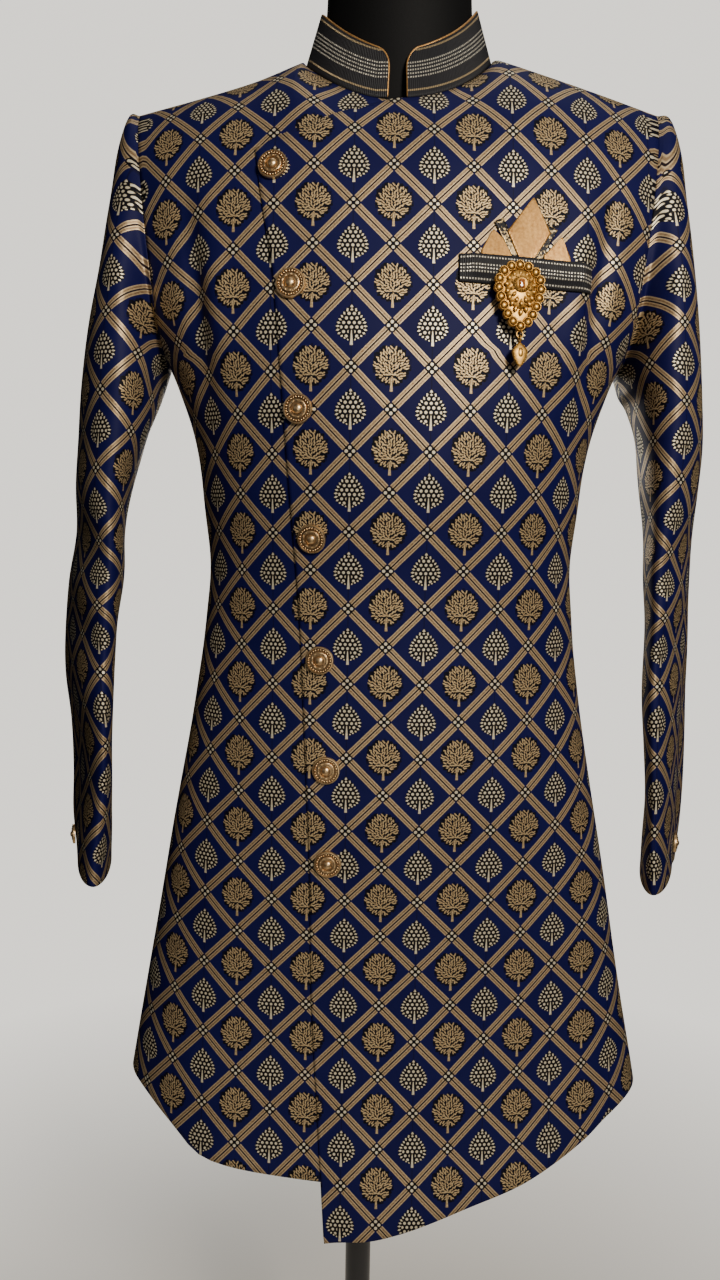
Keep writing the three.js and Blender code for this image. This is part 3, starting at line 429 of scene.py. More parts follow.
# ---- sleeves ----
sleeve = {
    # outer x and z, inner x and z, depth before and behind, and how far the section is turned
    "sections": {
        -1: [(233.7, 1427, 201.5, 1223, 57, 57, 0), (248, 1368, 202.5, 1219, 66, 64, 0),
             (260, 1310, 204, 1213, 73, 70, 4), (272.7, 1258, 206, 1205, 77, 74, 8),
             (282.2, 1206, 209.2, 1192, 78, 76, 12), (289.3, 1160, 217.7, 1160, 77, 76, 17),
             (295.8, 1118, 228.4, 1118, 76, 73, 21), (299.8, 1075, 232.3, 1075, 76, 70, 25),
             (307.5, 1030, 234.6, 1030, 76, 68, 28), (313.3, 986, 239.6, 986, 77, 64, 30),
             (315.1, 940, 242.3, 940, 78, 60, 31), (310.6, 894, 243.2, 894, 79, 56, 30),
             (307.4, 848, 244.8, 848, 79, 53, 26.8), (306, 808, 249, 808, 79, 50, 22.5),
             (301.7, 768, 252.7, 766, 78, 47, 18.4)],
        1: [(237.1, 1427, 201.5, 1223, 57, 57, 0), (251.6, 1368, 202.5, 1219, 66, 64, 0),
             (262.8, 1310, 204, 1213, 73, 70, 4), (271.8, 1258, 206, 1205, 77, 74, 8),
             (279.5, 1206, 212, 1192, 78, 76, 12), (286.6, 1160, 217.1, 1160, 77, 76, 17),
             (288, 1118, 220, 1118, 76, 73, 21), (289.7, 1075, 221.6, 1075, 76, 70, 25),
             (290.9, 1030, 222.2, 1030, 76, 68, 28), (294, 986, 223.3, 986, 77, 64, 30),
             (295, 940, 223.3, 940, 78, 60, 31), (296.3, 894, 226.1, 894, 79, 56, 31),
             (296.1, 848, 229.3, 848, 79, 53, 29.6), (294, 808, 230, 808, 79, 50, 28),
             (290, 768, 232, 766, 78, 47, 24.5)]},
    "creases": [(7, 2.5), (9, 3.0)],
    "head": {-1: 6, 1: 10}, "cuffAt": {-1: 762, 1: 768},
    # Where the pattern's middle lies at the cuff and at the head, and how far it is moved up above the elbow.
    # All three are listed here and are no part of the sleeve's cut.
    "frontLow": {-1: 16, 1: 27}, "frontHigh": {-1: 39, 1: 18}, "movedUp": {-1: 19, 1: 16},
    "holeOut": 0.5, "holeMiddle": 208, "holeTop": 1440, "pinched": 6,
}


def sleeveRing(row, turns, inset):
    outerX, outerZ, innerX, innerZ, front, back, turn = row
    slopeX, slopeZ = (outerX - innerX) / 2, (outerZ - innerZ) / 2
    c, s = np.cos(turns), np.sin(turns)
    half = np.sqrt(np.maximum(slopeX ** 2 - turn ** 2, 60)) - inset
    depth = np.where(s > 0, front, back) - inset
    return np.stack([(outerX + innerX) / 2 + half * c - turn * s, -depth * s,
                     (outerZ + innerZ) / 2 + slopeZ * c], axis=-1)


# The armhole's edge, from the shoulder down the front and up the back, as if it were the left one.
def armholeLoop(count, side):
    levels = np.array([1225, 1232, 1248, 1272, 1302, 1332, 1354, 1377, 1400, 1418, 1432], float)
    columns = np.full(levels.shape, float(lastColumn if side > 0 else 0))
    front, back = bodyPoints("front", columns, levels)[::-1], bodyPoints("back", columns, levels)[1:]
    loop = np.concatenate([front, back]) * np.array([side, 1, 1])
    marks = np.arange(len(loop)) / (len(loop) - 1)
    at = np.linspace(0, 1, count + 1)
    return np.stack([np.interp(at, marks, loop[:, k]) for k in range(3)], axis=-1)[:-1]


# A smooth way through a list of rings, each the same number of points.
def throughRings(rings, places):
    last = len(rings) - 1
    i = np.minimum(places.astype(int), last - 1)
    t = (places - i)[:, None, None]
    before, after = rings[np.maximum(i - 1, 0)], rings[np.minimum(i + 2, last)]
    a, b = rings[i], rings[i + 1]
    first = np.where((i > 0)[:, None, None], (b - before) / 2, b - a)
    second = np.where((i < last - 1)[:, None, None], (after - a) / 2, b - a)
    return (a * (1 - t) ** 2 * (1 + 2 * t) + b * t * t * (3 - 2 * t)
            + first * t * (1 - t) ** 2 - second * t * t * (1 - t))


def makeSleeve(name, side):
    count, rows = 84, 150
    turns = np.arange(count) / count * 2 * math.pi
    hole = armholeLoop(count, side) + np.array([sleeve["holeOut"], 0, 0])
    middle = np.array([sleeve["holeMiddle"], 0, (coat["armpit"] + sleeve["holeTop"]) / 2])
    inward = (middle - hole) * np.array([0, 1, 1])
    grids = []
    for inset in (0, coat["wall"]):
        first = hole + unit(inward) * inset
        rings = [first]
        for i, row in enumerate(sleeve["sections"][side]):
            if i == 0:
                row = (row[0], row[1] + sleeve["head"][side]) + row[2:]
            depth = sum(depth for crease, depth in sleeve["creases"] if crease == i)
            pinch = depth * np.maximum(np.sin(turns), 0)
            full = sleeveRing(row, turns, 0)
            pinched = sleeveRing(row, turns, sleeve["pinched"])
            perMm = (pinched - full) / sleeve["pinched"]
            rings.append(sleeveRing(row, turns, inset) + perMm * pinch[:, None])
        grids.append(throughRings(np.array(rings), np.linspace(0, len(rings) - 1, rows)))
    outer, inner = grids
    out = unit(outer - inner)
    z = outer[..., 2]
    front = np.maximum(np.sin(turns), 0)[None, :]
    innerSide = np.maximum(-np.cos(turns), 0)[None, :]
    drag = 1.5 * np.sin((z - 34 * np.cos(turns)[None, :]) / 13) * bump(z, 1040, 75) * (0.3 + 0.7 * front)
    pit = 1.3 * np.sin((z + 40 * np.sin(turns)[None, :]) / 11) * bump(z, 1190, 48) * innerSide
    head = 1.8 * bump(z, 1400, 26) * np.maximum(np.cos(turns), 0)[None, :]
    loose = 0.7 * np.sin(z / 37 + 2 * np.sin(turns)[None, :])
    loose = loose * smooth((1150 - z) / 90) * smooth((z - 775) / 40)
    push = (drag + pit + head + loose)[..., None] * out
    push[:2] = 0
    outer, inner = outer + push, inner + push
    # The sleeve's seam runs down its inner side. Its cloth is measured up from the cuff, and across that.
    outer, inner = np.roll(outer, -count // 2, axis=1), np.roll(inner, -count // 2, axis=1)
    climb = np.linalg.norm(outer[1:] - outer[:-1], axis=-1)[::-1]
    up = np.concatenate([np.zeros((1, count)), np.cumsum(climb, axis=0)])[::-1]
    ringStep = np.linalg.norm(np.roll(outer, -1, axis=1) - outer, axis=-1)
    across = np.sqrt(np.maximum(ringStep ** 2 - (np.roll(up, -1, axis=1) - up) ** 2, (0.25 * ringStep) ** 2))
    around = np.concatenate([np.zeros((rows, 1)), np.cumsum(across, axis=1)], axis=1)
    up = np.concatenate([up, up[:, :1]], axis=1)
    front = around[:, count * 3 // 4][:, None]
    level = z[:, count // 4][:, None]
    low, high = sleeve["frontLow"][side], sleeve["frontHigh"][side]
    turned = low + (high - low) * smooth((level - 800) / 300)
    moved = sleeve["movedUp"][side] * smooth((level - 950) / 160)
    flat = np.stack([turned - side * (around - front), sleeve["cuffAt"][side] + up + moved], axis=-1)
    mirror = np.array([side, 1, 1])
    piece = wallPiece(name, outer * mirror, inner * mirror, flat, ring=True)
    return piece


rightSleeve = makeSleeve("rightSleeve", -1)
leftSleeve = makeSleeve("leftSleeve", 1)
print("sleeves made")


# ---- collar, with the piping round its edge ----
collar = {"height": 41.5, "topHalfWidth": 67.5, "topFront": 62, "topBack": 56, "endShare": 0.36, "wall": 2.4,
          "endDrop": 0.36, "endRound": 12.5, "endLean": 0.05, "leanReach": 45, "foot": 0.5,
          "piping": 1.0, "pipingOver": 0.6, "pipingStep": 1.6, "rows": 18}


def edgePoint(face, column):
    column = np.atleast_1d(np.asarray(column, float))
    top = np.full(column.shape, float(topLevel))
    at = bodyPoints(face, column, top)
    lift = np.where((face == "front") & (column >= centreColumn), lapLift(at[:, 0]), 0)
    return at + bodyNormals(face, column, top) * lift[:, None]


def collarGrid():
    first, second = edgePoint("front", [centreColumn - 1, centreColumn])
    end = first + (second - first) * collar["endShare"]
    alongLeft, alongRight = np.linspace(0, 1, 61) ** 1.7, 1 - np.linspace(1, 0, 41) ** 1.5
    frontLeft = edgePoint("front", centreColumn + (rightCornerColumn - centreColumn) * alongLeft)
    back = edgePoint("back", np.linspace(rightCornerColumn, cornerColumn, 81)[1:-1])
    frontRight = edgePoint("front", cornerColumn + (centreColumn - 1 - cornerColumn) * alongRight)
    tail = frontRight[-1] + (end - frontRight[-1]) * np.linspace(0, 1, 17)[1:, None]
    feet = np.concatenate([frontLeft, back, frontRight, tail])
    depth = np.where(feet[:, 1] < 0, coat["neckDepth"]["front"], coat["neckDepth"]["back"])
    rounds = np.arctan2(feet[:, 0] / coat["neckHalfWidth"], -feet[:, 1] / depth)
    out = np.stack([np.sin(rounds), -np.cos(rounds), 0 * rounds], axis=-1)
    topDepth = np.where(np.cos(rounds) > 0, collar["topFront"], collar["topBack"])
    length = np.concatenate([[0], np.cumsum(np.linalg.norm(feet[1:] - feet[:-1], axis=-1))])
    fromEnd = np.minimum(length, length[-1] - length)
    rounded = 1 - np.sqrt(1 - np.clip(1 - fromEnd / collar["endRound"], 0, 1) ** 2)
    lean = np.clip(1 - fromEnd / collar["leanReach"], 0, 1) ** 2
    lowered = collar["endDrop"] * rounded + collar["endLean"] * lean
    shares = np.linspace(0, 1, collar["rows"])[:, None] * (1 - lowered)[None, :]
    head = np.stack([collar["topHalfWidth"] * out[:, 0], topDepth * out[:, 1], feet[:, 2] + collar["height"]],
                    axis=-1)
    points = feet[None] + (head - feet)[None] * shares[..., None] + out[None] * coat["seam"]
    points[..., 2] += collar["foot"]
    flat = np.stack([np.broadcast_to(length, shares.shape), shares * collar["height"]], axis=-1)
    return points, points - out[None] * collar["wall"], flat


# A round cord along a row of points, its ends closed; its flat coordinates run along it and round it.
def cordPiece(name, points, radius, sides=10):
    count = len(points)
    ahead = np.roll(points, -1, axis=0) - np.roll(points, 1, axis=0)
    ahead[0], ahead[-1] = points[1] - points[0], points[-1] - points[-2]
    ahead = unit(ahead)
    side = unit(np.cross(ahead, np.array([0.03, 0.02, 1.0])))
    up = np.cross(side, ahead)
    turns = np.arange(sides) / sides * 2 * math.pi
    radii = np.full(count, float(radius))
    radii[0] = radii[-1] = radius * 0.35
    ring = side[:, None] * np.cos(turns)[None, :, None] + up[:, None] * np.sin(turns)[None, :, None]
    rings = points[:, None] + ring * radii[:, None, None]
    length = np.concatenate([[0], np.cumsum(np.linalg.norm(points[1:] - points[:-1], axis=-1))])
    faces, corners = [], []
    for i in range(count - 1):
        here, there = i * sides, (i + 1) * sides
        for k in range(sides):
            m = (k + 1) % sides
            faces.append([here + k, there + k, there + m, here + m])
            corners.extend([(length[i], k / sides), (length[i + 1], k / sides),
                            (length[i + 1], (k + 1) / sides), (length[i], (k + 1) / sides)])
    faces.append(list(range(sides)))
    faces.append([(count - 1) * sides + k for k in reversed(range(sides))])
    corners.extend([(0, 0)] * sides + [(length[-1], 0)] * sides)
    mesh = bpy.data.meshes.new(name)
    mesh.from_pydata((rings.reshape(-1, 3) * mm).tolist(), [], faces)
    layer = mesh.uv_layers.new(name="cut")
    scale = np.array([mm, 2 * math.pi * radius * mm])
    layer.data.foreach_set("uv", (np.array(corners) * scale).ravel())
    mesh.update()
    turnOutwards(mesh)
    mesh.polygons.foreach_set("use_smooth", [True] * len(mesh.polygons))
    piece = bpy.data.objects.new(name, mesh)
    bpy.context.collection.objects.link(piece)
    return piece


collarOuter, collarInner, collarFlat = collarGrid()
collarBand = wallPiece("collarBand", collarOuter, collarInner, collarFlat)
middleWall = (collarOuter + collarInner) / 2
frontEnd = middleWall[:, 0]
otherEnd = middleWall[:, -1]
pipingWay = np.concatenate([frontEnd[:-1], middleWall[-1], otherEnd[::-1][1:]])
pipingWay[:, 2] += np.concatenate([np.zeros(len(frontEnd) - 1),
                                   np.full(middleWall.shape[1], collar["pipingOver"]),
                                   np.zeros(len(otherEnd) - 1)])


def resampled(points, step):
    length = np.concatenate([[0], np.cumsum(np.linalg.norm(points[1:] - points[:-1], axis=-1))])
    at = np.linspace(0, length[-1], max(int(length[-1] / step), 2))
    return np.stack([np.interp(at, length, points[:, k]) for k in range(3)], axis=-1)


collarPiping = cordPiece("collarPiping", resampled(pipingWay, collar["pipingStep"]), collar["piping"])
print("collar made")


# ---- what lies on the front ----
# About the width of a column at the chest, and the x that the flat coordinates of a patch start from.
columnWidth, patchStart = 23.6, 27


# The column and level of the front where it shows at x and z, seen from the front.
def frontPlace(x, z):
    column = centreColumn + x / columnWidth
    level = z + 0 * x
    for _ in range(14):
        at = bodyPoints("front", column, level)
        right = (bodyPoints("front", column + 0.01, level) - at) * 100
        up = (bodyPoints("front", column, level + 0.01) - at) * 100
        determinant = right[..., 0] * up[..., 2] - up[..., 0] * right[..., 2]
        missX, missZ = x - at[..., 0], z - at[..., 2]
        column = np.clip(column + (missX * up[..., 2] - missZ * up[..., 0]) / determinant, 0.1,
                         lastColumn - 0.1)
        level = np.clip(level + (missZ * right[..., 0] - missX * right[..., 2]) / determinant, 440,
                        topLevel - 0.1)
    return column, level


def onFront(x, z, offset):
    x, z = np.broadcast_arrays(np.asarray(x, float), np.asarray(z, float))
    column, level = frontPlace(x, z)
    points = bodyPoints("front", column, level)
    normals = bodyNormals("front", column, level)
    out = lapLift(points[..., 0]) + settle("front", points) + offset
    return points + normals * out[..., None], normals


# A thin piece on the front, between two edges given from its foot to its top.
def frontPatch(name, rightEdge, leftEdge, offset, thick, across=24, upward=24):
    u = np.linspace(0, 1, across + 1)[None, :]
    v = np.linspace(0, 1, upward + 1)
    marks = np.linspace(0, 1, len(rightEdge))
    one = [np.interp(v, marks, [p[k] for p in rightEdge])[:, None] for k in (0, 1)]
    two = [np.interp(v, marks, [p[k] for p in leftEdge])[:, None] for k in (0, 1)]
    x = one[0] + (two[0] - one[0]) * u
    z = one[1] + (two[1] - one[1]) * u
    stand = offset(u + 0 * x, v[:, None] + 0 * x)
    outer, normals = onFront(x, z, stand + thick)
    flat = np.stack([x - patchStart, z], axis=-1)
    return wallPiece(name, outer, outer - normals * thick, flat)


welt = {"left": 47, "right": 154.5, "top": (1298, 1295.5), "bottom": (1277, 1274), "bulge": 3.4, "wall": 1.6}


def weltStand(u, v):
    return 0.35 + welt["bulge"] * smooth(v / 0.5) * smooth(np.minimum(u, 1 - u) / 0.12)


pocketWelt = frontPatch("pocketWelt", [(welt["left"], welt["bottom"][0]), (welt["left"], welt["top"][0])],
                        [(welt["right"], welt["bottom"][1]), (welt["right"], welt["top"][1])],
                        weltStand, welt["wall"], 90, 14)
# The welt's own flat coordinates start at its foot.
for loop, spot in zip(pocketWelt.data.loops, pocketWelt.data.uv_layers[0].data):
    across = (spot.uv.x / mm + patchStart - welt["left"]) / (welt["right"] - welt["left"])
    foot = welt["bottom"][0] + (welt["bottom"][1] - welt["bottom"][0]) * across
    spot.uv = (spot.uv.x, spot.uv.y - foot * mm)

square = {"thick": 1.2, "low": 0.35, "high": 1.95, "strip": 0.28, "stripGap": 0.07}
stripStand = square["low"] + square["thick"] + square["stripGap"]
softFold = lambda base, swell: (lambda u, v: base + swell * np.sin(math.pi * u) * (1 - v) ** 0.7)
rightPeak = frontPatch("pocketSquareRight", [(63, 1290), (65, 1303), (73.6, 1319)],
                       [(93, 1290), (92, 1303), (74.4, 1319)],
                       softFold(square["low"], 0.0), square["thick"])
leftPeak = frontPatch("pocketSquareLeft", [(114, 1290), (115, 1301), (129.1, 1316)],
                      [(138, 1290), (136, 1301), (129.9, 1316)],
                      softFold(square["low"], 0.0), square["thick"])
middlePeak = frontPatch("pocketSquareMiddle", [(97.4, 1290), (85, 1318), (105.1, 1345)],
                        [(101.6, 1290), (119.5, 1318), (105.9, 1345)], softFold(square["high"], 0.5),
                        square["thick"])
rightStrip = frontPatch("pocketStripRight", [(91, 1295), (74.5, 1325.5)], [(98.5, 1295), (81.5, 1328.5)],
                        softFold(stripStand, 0.0), square["strip"], 6, 20)
leftStrip = frontPatch("pocketStripLeft", [(104, 1295), (118.5, 1324.5)], [(111.5, 1295), (125.5, 1321.5)],
                       softFold(stripStand, 0.0), square["strip"], 6, 20)
print("pocket made")


# ---- metalwork ----
def startShape(name, kind, **sizes):
    bpy.ops.object.select_all(action="DESELECT")
    getattr(bpy.ops.mesh, "primitive_" + kind + "_add")(**sizes)
    shape = bpy.context.object
    shape.name = name
    bpy.ops.object.transform_apply(location=True, rotation=True, scale=True)
    return shape


# A turned piece: a low cylinder whose top is stepped inwards, each step so far in and so far up.
def turnedShape(name, radius, depth, steps, sides=40, centre=(0, 0, 0)):
    place = (centre[0] * mm, centre[1] * mm, (centre[2] + depth / 2) * mm)
    shape = startShape(name, "cylinder", vertices=sides, radius=radius * mm, depth=depth * mm, location=place)
    bpy.ops.object.mode_set(mode="EDIT")
    bpy.ops.mesh.select_mode(type="FACE")
    bpy.ops.mesh.select_all(action="DESELECT")
    bpy.ops.object.mode_set(mode="OBJECT")
    for face in shape.data.polygons:
        face.select = face.normal.z > 0.9
    bpy.ops.object.mode_set(mode="EDIT")
    for inward, rise in steps:
        bpy.ops.mesh.inset(thickness=inward * mm, depth=rise * mm)
    bpy.ops.mesh.merge(type="CENTER")
    bpy.ops.object.mode_set(mode="OBJECT")
    return shape


def joinShapes(name, shapes):
    bpy.ops.object.select_all(action="DESELECT")
    for shape in shapes:
        shape.select_set(True)
    bpy.context.view_layer.objects.active = shapes[0]
    bpy.ops.object.join()
    whole = bpy.context.object
    whole.name = whole.data.name = name
    bpy.ops.object.shade_smooth_by_angle(angle=math.radians(42))
    return whole


def ballShape(name, radius, centre, stretch=(1, 1, 1), turn=0.0, detail=2):
    return startShape(name, "ico_sphere", subdivisions=detail, radius=radius * mm,
                      location=[c * mm for c in centre], rotation=(0, 0, turn), scale=stretch)


# Stands a shape drawn in X and Y, with Z outwards, on the cloth the right way up.
def standOn(shape, point, normal):
    out = Vector(normal)
    up = (Vector((0, 0, 1)) - out * out.z).normalized()
    right = up.cross(out)
    turn = Matrix((right, up, out)).transposed().to_4x4()
    shape.data.transform(Matrix.Translation(Vector(point) * mm) @ turn)
    return shape


def copyShape(shape, name):
    copied = bpy.data.objects.new(name, shape.data.copy())
    bpy.context.collection.objects.link(copied)
    return copied


button = {"radius": 12.5, "height": 6.5, "stand": 0.6, "beads": 26, "petals": 10,
          "places": [(-100, 1368), (-84, 1274), (-77, 1178), (-66, 1076), (-59, 974), (-53, 879), (-51, 795)]}
cuffButton = {"radius": 9.5, "height": 5.5, "z": 796, "round": 0.25, "stand": 0.9}


def buttonShape(name, radius, height):
    r, h = radius, height / 6.5
    # rolled rim, sunk ring, raised ring, sunk ring, dome
    steps = [(-0.05, 0.5), (0.03, 0.5), (0.07, 0.1), (0.04, -0.6), (0.2, -0.1), (0.02, 1.0), (0.06, 0.35),
             (0.08, -0.1), (0.03, -0.8), (0.09, 0.1), (0.02, 1.0), (0.07, 0.9), (0.09, 0.6), (0.1, 0.3)]
    body = turnedShape(name, r * 0.95, 1.6 * h, [(r * inward, rise * h) for inward, rise in steps])
    shapes = [body]
    for i in range(button["beads"]):
        turn = i / button["beads"] * 2 * math.pi
        place = (r * 0.74 * math.cos(turn), r * 0.74 * math.sin(turn), 2.3 * h)
        shapes.append(ballShape("bead", r * 0.085, place, detail=1))
    for i in range(button["petals"]):
        turn = (i + 0.5) / button["petals"] * 2 * math.pi
        place = (r * 0.52 * math.cos(turn), r * 0.52 * math.sin(turn), 3.3 * h)
        shapes.append(ballShape("petal", r * 0.13, place, (0.55, 1.0, 0.45), turn, 1))
    return joinShapes(name, shapes)


firstButton = buttonShape("buttonShape", button["radius"], button["height"])
buttons = []
for number, (x, z) in enumerate(button["places"], 1):
    point, normal = onFront(x, z, button["stand"])
    buttons.append(standOn(copyShape(firstButton, "button%d" % number), point, normal))
bpy.data.objects.remove(firstButton)


def onSleeve(side, z, turn, offset):
    table = sorted((row[1],) + row for row in sleeve["sections"][side])

    def at(height, turned):
        row = [float(lookUp(table, height, k)) for k in range(1, 8)]
        return sleeveRing(row, np.array(turned), 0) * np.array([side, 1, 1])
    point = at(z, turn)
    around = at(z, turn + 0.05) - at(z, turn - 0.05)
    down = at(z - 5, turn) - at(z + 5, turn)
    normal = unit(np.cross(around, down))
    normal = normal * (1 if normal[0] * side > 0 else -1)
    return point + normal * offset, normal


smallButton = buttonShape("smallButtonShape", cuffButton["radius"], cuffButton["height"])
cuffButtons = []
for name, side in (("Right", -1), ("Left", 1)):
    point, normal = onSleeve(side, cuffButton["z"], cuffButton["round"], cuffButton["stand"])
    cuffButtons.append(standOn(copyShape(smallButton, "cuffButton" + name), point, normal))
bpy.data.objects.remove(smallButton)
print("buttons made")

brooch = {"x": 93, "z": 1273, "back": 5.9, "settings": 18, "halfWidth": 17.4, "rise": 16.4, "fall": 31.2,
          "taper": 0.25, "setting": 3.9, "settingGrains": 12, "centreRing": 5.6, "centreGrains": 18,
          # each ring of leaves: its share of the outline, how many, their size and how high they sit
          "leafRings": [(0.63, 16, 2.6, 4.2), (0.40, 11, 2.3, 5.6)]}
link = {"radius": 2.6, "wire": 0.7, "below": 37.2, "out": 1.4, "gap": 0.3}
drop = {"length": 19.5, "halfWidth": 6.6, "halfThick": 2.2, "grainsPerSide": 10}


# Evenly spaced places round the brooch, from its lowest one.
def broochOutline(count, share=1.0):
    turn = np.linspace(0, 2 * math.pi, 721) - math.pi / 2
    low = np.maximum(-np.sin(turn), 0)
    x = brooch["halfWidth"] * (1 - brooch["taper"] * low) * np.cos(turn)
    y = np.where(low > 0, brooch["fall"], brooch["rise"]) * np.sin(turn)
    length = np.concatenate([[0], np.cumsum(np.hypot(np.diff(x), np.diff(y)))])
    at = np.arange(count) / count * length[-1]
    return list(zip(np.interp(at, length, x) * share, np.interp(at, length, y) * share))


def broochShape():
    size = brooch["setting"]
    plate = startShape("plate", "circle", vertices=brooch["settings"], radius=mm, fill_type="NGON")
    for vertex, (x, y) in zip(plate.data.vertices, broochOutline(brooch["settings"])):
        vertex.co = (x * mm, y * mm, 0)
    bpy.ops.object.mode_set(mode="EDIT")
    bpy.ops.mesh.select_all(action="SELECT")
    bpy.ops.mesh.extrude_region_move(TRANSFORM_OT_translate={"value": (0, 0, 2.4 * mm)})
    bpy.ops.mesh.inset(thickness=1.2 * mm, depth=0.5 * mm)
    bpy.ops.mesh.select_all(action="SELECT")
    bpy.ops.mesh.normals_make_consistent(inside=False)
    bpy.ops.object.mode_set(mode="OBJECT")
    shapes = [plate]
    # a setting is a low cup with a granulated rim and a domed middle
    cup = [(0.35, 0.5), (0.4, -0.1), (0.2, -1.0), (0.5, 0.9), (0.9, 0.65), (0.9, 0.35)]
    for x, y in broochOutline(brooch["settings"]):
        shapes.append(turnedShape("setting", size, 2.6, cup, 20, (x, y, 0.9)))
        for k in range(brooch["settingGrains"]):
            around, reach = k / brooch["settingGrains"] * 2 * math.pi, size - 0.35
            place = (x + reach * math.cos(around), y + reach * math.sin(around), 3.9)
            shapes.append(ballShape("grain", 0.42, place, detail=1))
    # granulated leaves in two rings over a low dome, smaller and closer towards the middle
    dome = ballShape("dome", 12.5, (0, -2.5, 2.4), (1.0, 1.28, 0.3), 0, 3)
    shapes.append(dome)
    for share, count, leaf, high in brooch["leafRings"]:
        for x, y in broochOutline(count, share):
            y -= 3 * (1 - share)
            shapes.append(ballShape("leaf", leaf, (x, y, high), (1.0, 0.66, 0.5), math.atan2(y + 1, x), 2))
            for k in range(3):
                reach = 0.8 + 0.16 * k
                place = (x * reach, y * reach, high + 1.25 - 0.2 * abs(k - 1))
                shapes.append(ballShape("grain", 0.5, place, detail=1))
    shapes.append(turnedShape("centre", 6.6, 5.6,
                              [(0.5, 0.5), (1.0, 0.7), (0.4, 0.3), (0.5, -0.2), (0.3, -0.6)], 32,
                              (0, 0.4, 1)))
    for i in range(brooch["centreGrains"]):
        turn, reach = i / brooch["centreGrains"] * 2 * math.pi, brooch["centreRing"]
        place = (reach * math.cos(turn), 0.4 + reach * math.sin(turn), 7.6)
        shapes.append(ballShape("grain", 0.7, place, detail=1))
    ring = startShape("ring", "torus", major_radius=link["radius"] * mm, minor_radius=link["wire"] * mm,
                      major_segments=28, minor_segments=10,
                      location=(0, -link["below"] * mm, link["out"] * mm))
    return joinShapes("brooch", shapes + [ring])


broochPiece = broochShape()
stoneBlock = startShape("stone", "cube", size=mm)
stoneBlock.data.transform(Matrix.Translation((0, 0.2 * mm, 7.4 * mm)) @ Matrix.Diagonal((4.6, 7.0, 3.4, 1)))
stoneEdge = stoneBlock.modifiers.new("edge", "BEVEL")
stoneEdge.width, stoneEdge.segments = 1.1 * mm, 5
bpy.ops.object.modifier_apply(modifier="edge")
broochStone = joinShapes("broochStone", [stoneBlock])
broochPoint, broochNormal = onFront(brooch["x"], brooch["z"], brooch["back"])


def dropShape():
    loopDown = 2 * link["radius"] - 2 * link["wire"] - link["gap"]
    loop = startShape("loop", "torus", major_radius=link["radius"] * mm, minor_radius=link["wire"] * mm,
                      major_segments=28, minor_segments=10, rotation=(0, math.pi / 2, 0),
                      location=(0, -loopDown * mm, 0))
    top = -loopDown - link["radius"] + 0.2
    # a pointed oval, widest a third of the way down
    outline = [(0.16, 0.03), (0.6, 0.16), (0.95, 0.32), (1.0, 0.44), (0.76, 0.7), (0.34, 0.92), (0.04, 1.0)]
    halfAt = lambda share: float(np.interp(share, [0] + [s for _, s in outline],
                                           [0] + [r for r, _ in outline]))
    bead = startShape("bead", "uv_sphere", segments=32, ring_count=24, radius=mm,
                      rotation=(math.pi / 2, 0, 0))
    for vertex in bead.data.vertices:
        share = (1 - vertex.co.y / mm) / 2
        ringSize = max(math.hypot(vertex.co.x, vertex.co.z) / mm, 1e-6)
        half = (halfAt(share - 0.02) + halfAt(share) + halfAt(share + 0.02)) / 3 * drop["halfWidth"]
        vertex.co = (vertex.co.x / ringSize * half, (top - share * drop["length"]) * mm,
                     vertex.co.z / ringSize * half * drop["halfThick"] / drop["halfWidth"])
    shapes = [loop, bead,
              ballShape("leaf", 3.1, (0, top - 0.44 * drop["length"], 1.2), (0.8, 1.35, 0.5), 0, 2)]
    for side in (-1, 1):
        for i in range(drop["grainsPerSide"]):
            share = 0.16 + 0.76 * i / (drop["grainsPerSide"] - 1)
            x = side * (halfAt(share) * drop["halfWidth"] - 0.9)
            shapes.append(ballShape("grain", 0.6, (x, top - share * drop["length"], 0.9), detail=1))
    return joinShapes("broochDrop", shapes)


dropPiece = dropShape()
dropPiece.data.transform(Matrix.Translation((0, -link["below"] * mm, link["out"] * mm)))
for shape in (broochPiece, broochStone, dropPiece):
    standOn(shape, broochPoint, broochNormal)
print("brooch made")


# ---- the form and its stand ----
stand = {"x": -19, "poleRadius": 12.5, "baseRadius": 170, "baseHeight": 14, "baseEdge": 4, "formBottom": 800,
         "gap": 0.3}


# The form's solid, joined up and rounded by subdivision.
def roundedCopy(name, node, levels):
    source = bpy.data.objects[node]
    piece = bpy.data.objects.new(name, source.data.copy())
    bpy.context.collection.objects.link(piece)
    bpy.ops.object.select_all(action="DESELECT")
    piece.select_set(True)
    bpy.context.view_layer.objects.active = piece
    bpy.ops.object.mode_set(mode="EDIT")
    bpy.ops.mesh.select_all(action="SELECT")
    bpy.ops.mesh.remove_doubles(threshold=0.02 * mm)
    bpy.ops.mesh.tris_convert_to_quads(face_threshold=math.radians(60), shape_threshold=math.radians(80))
    bpy.ops.object.mode_set(mode="OBJECT")
    rounding = piece.modifiers.new("rounding", "SUBSURF")
    rounding.levels = rounding.render_levels = levels
    bpy.ops.object.modifier_apply(modifier="rounding")
    bpy.ops.object.shade_smooth_by_angle(angle=math.radians(50))
    return piece


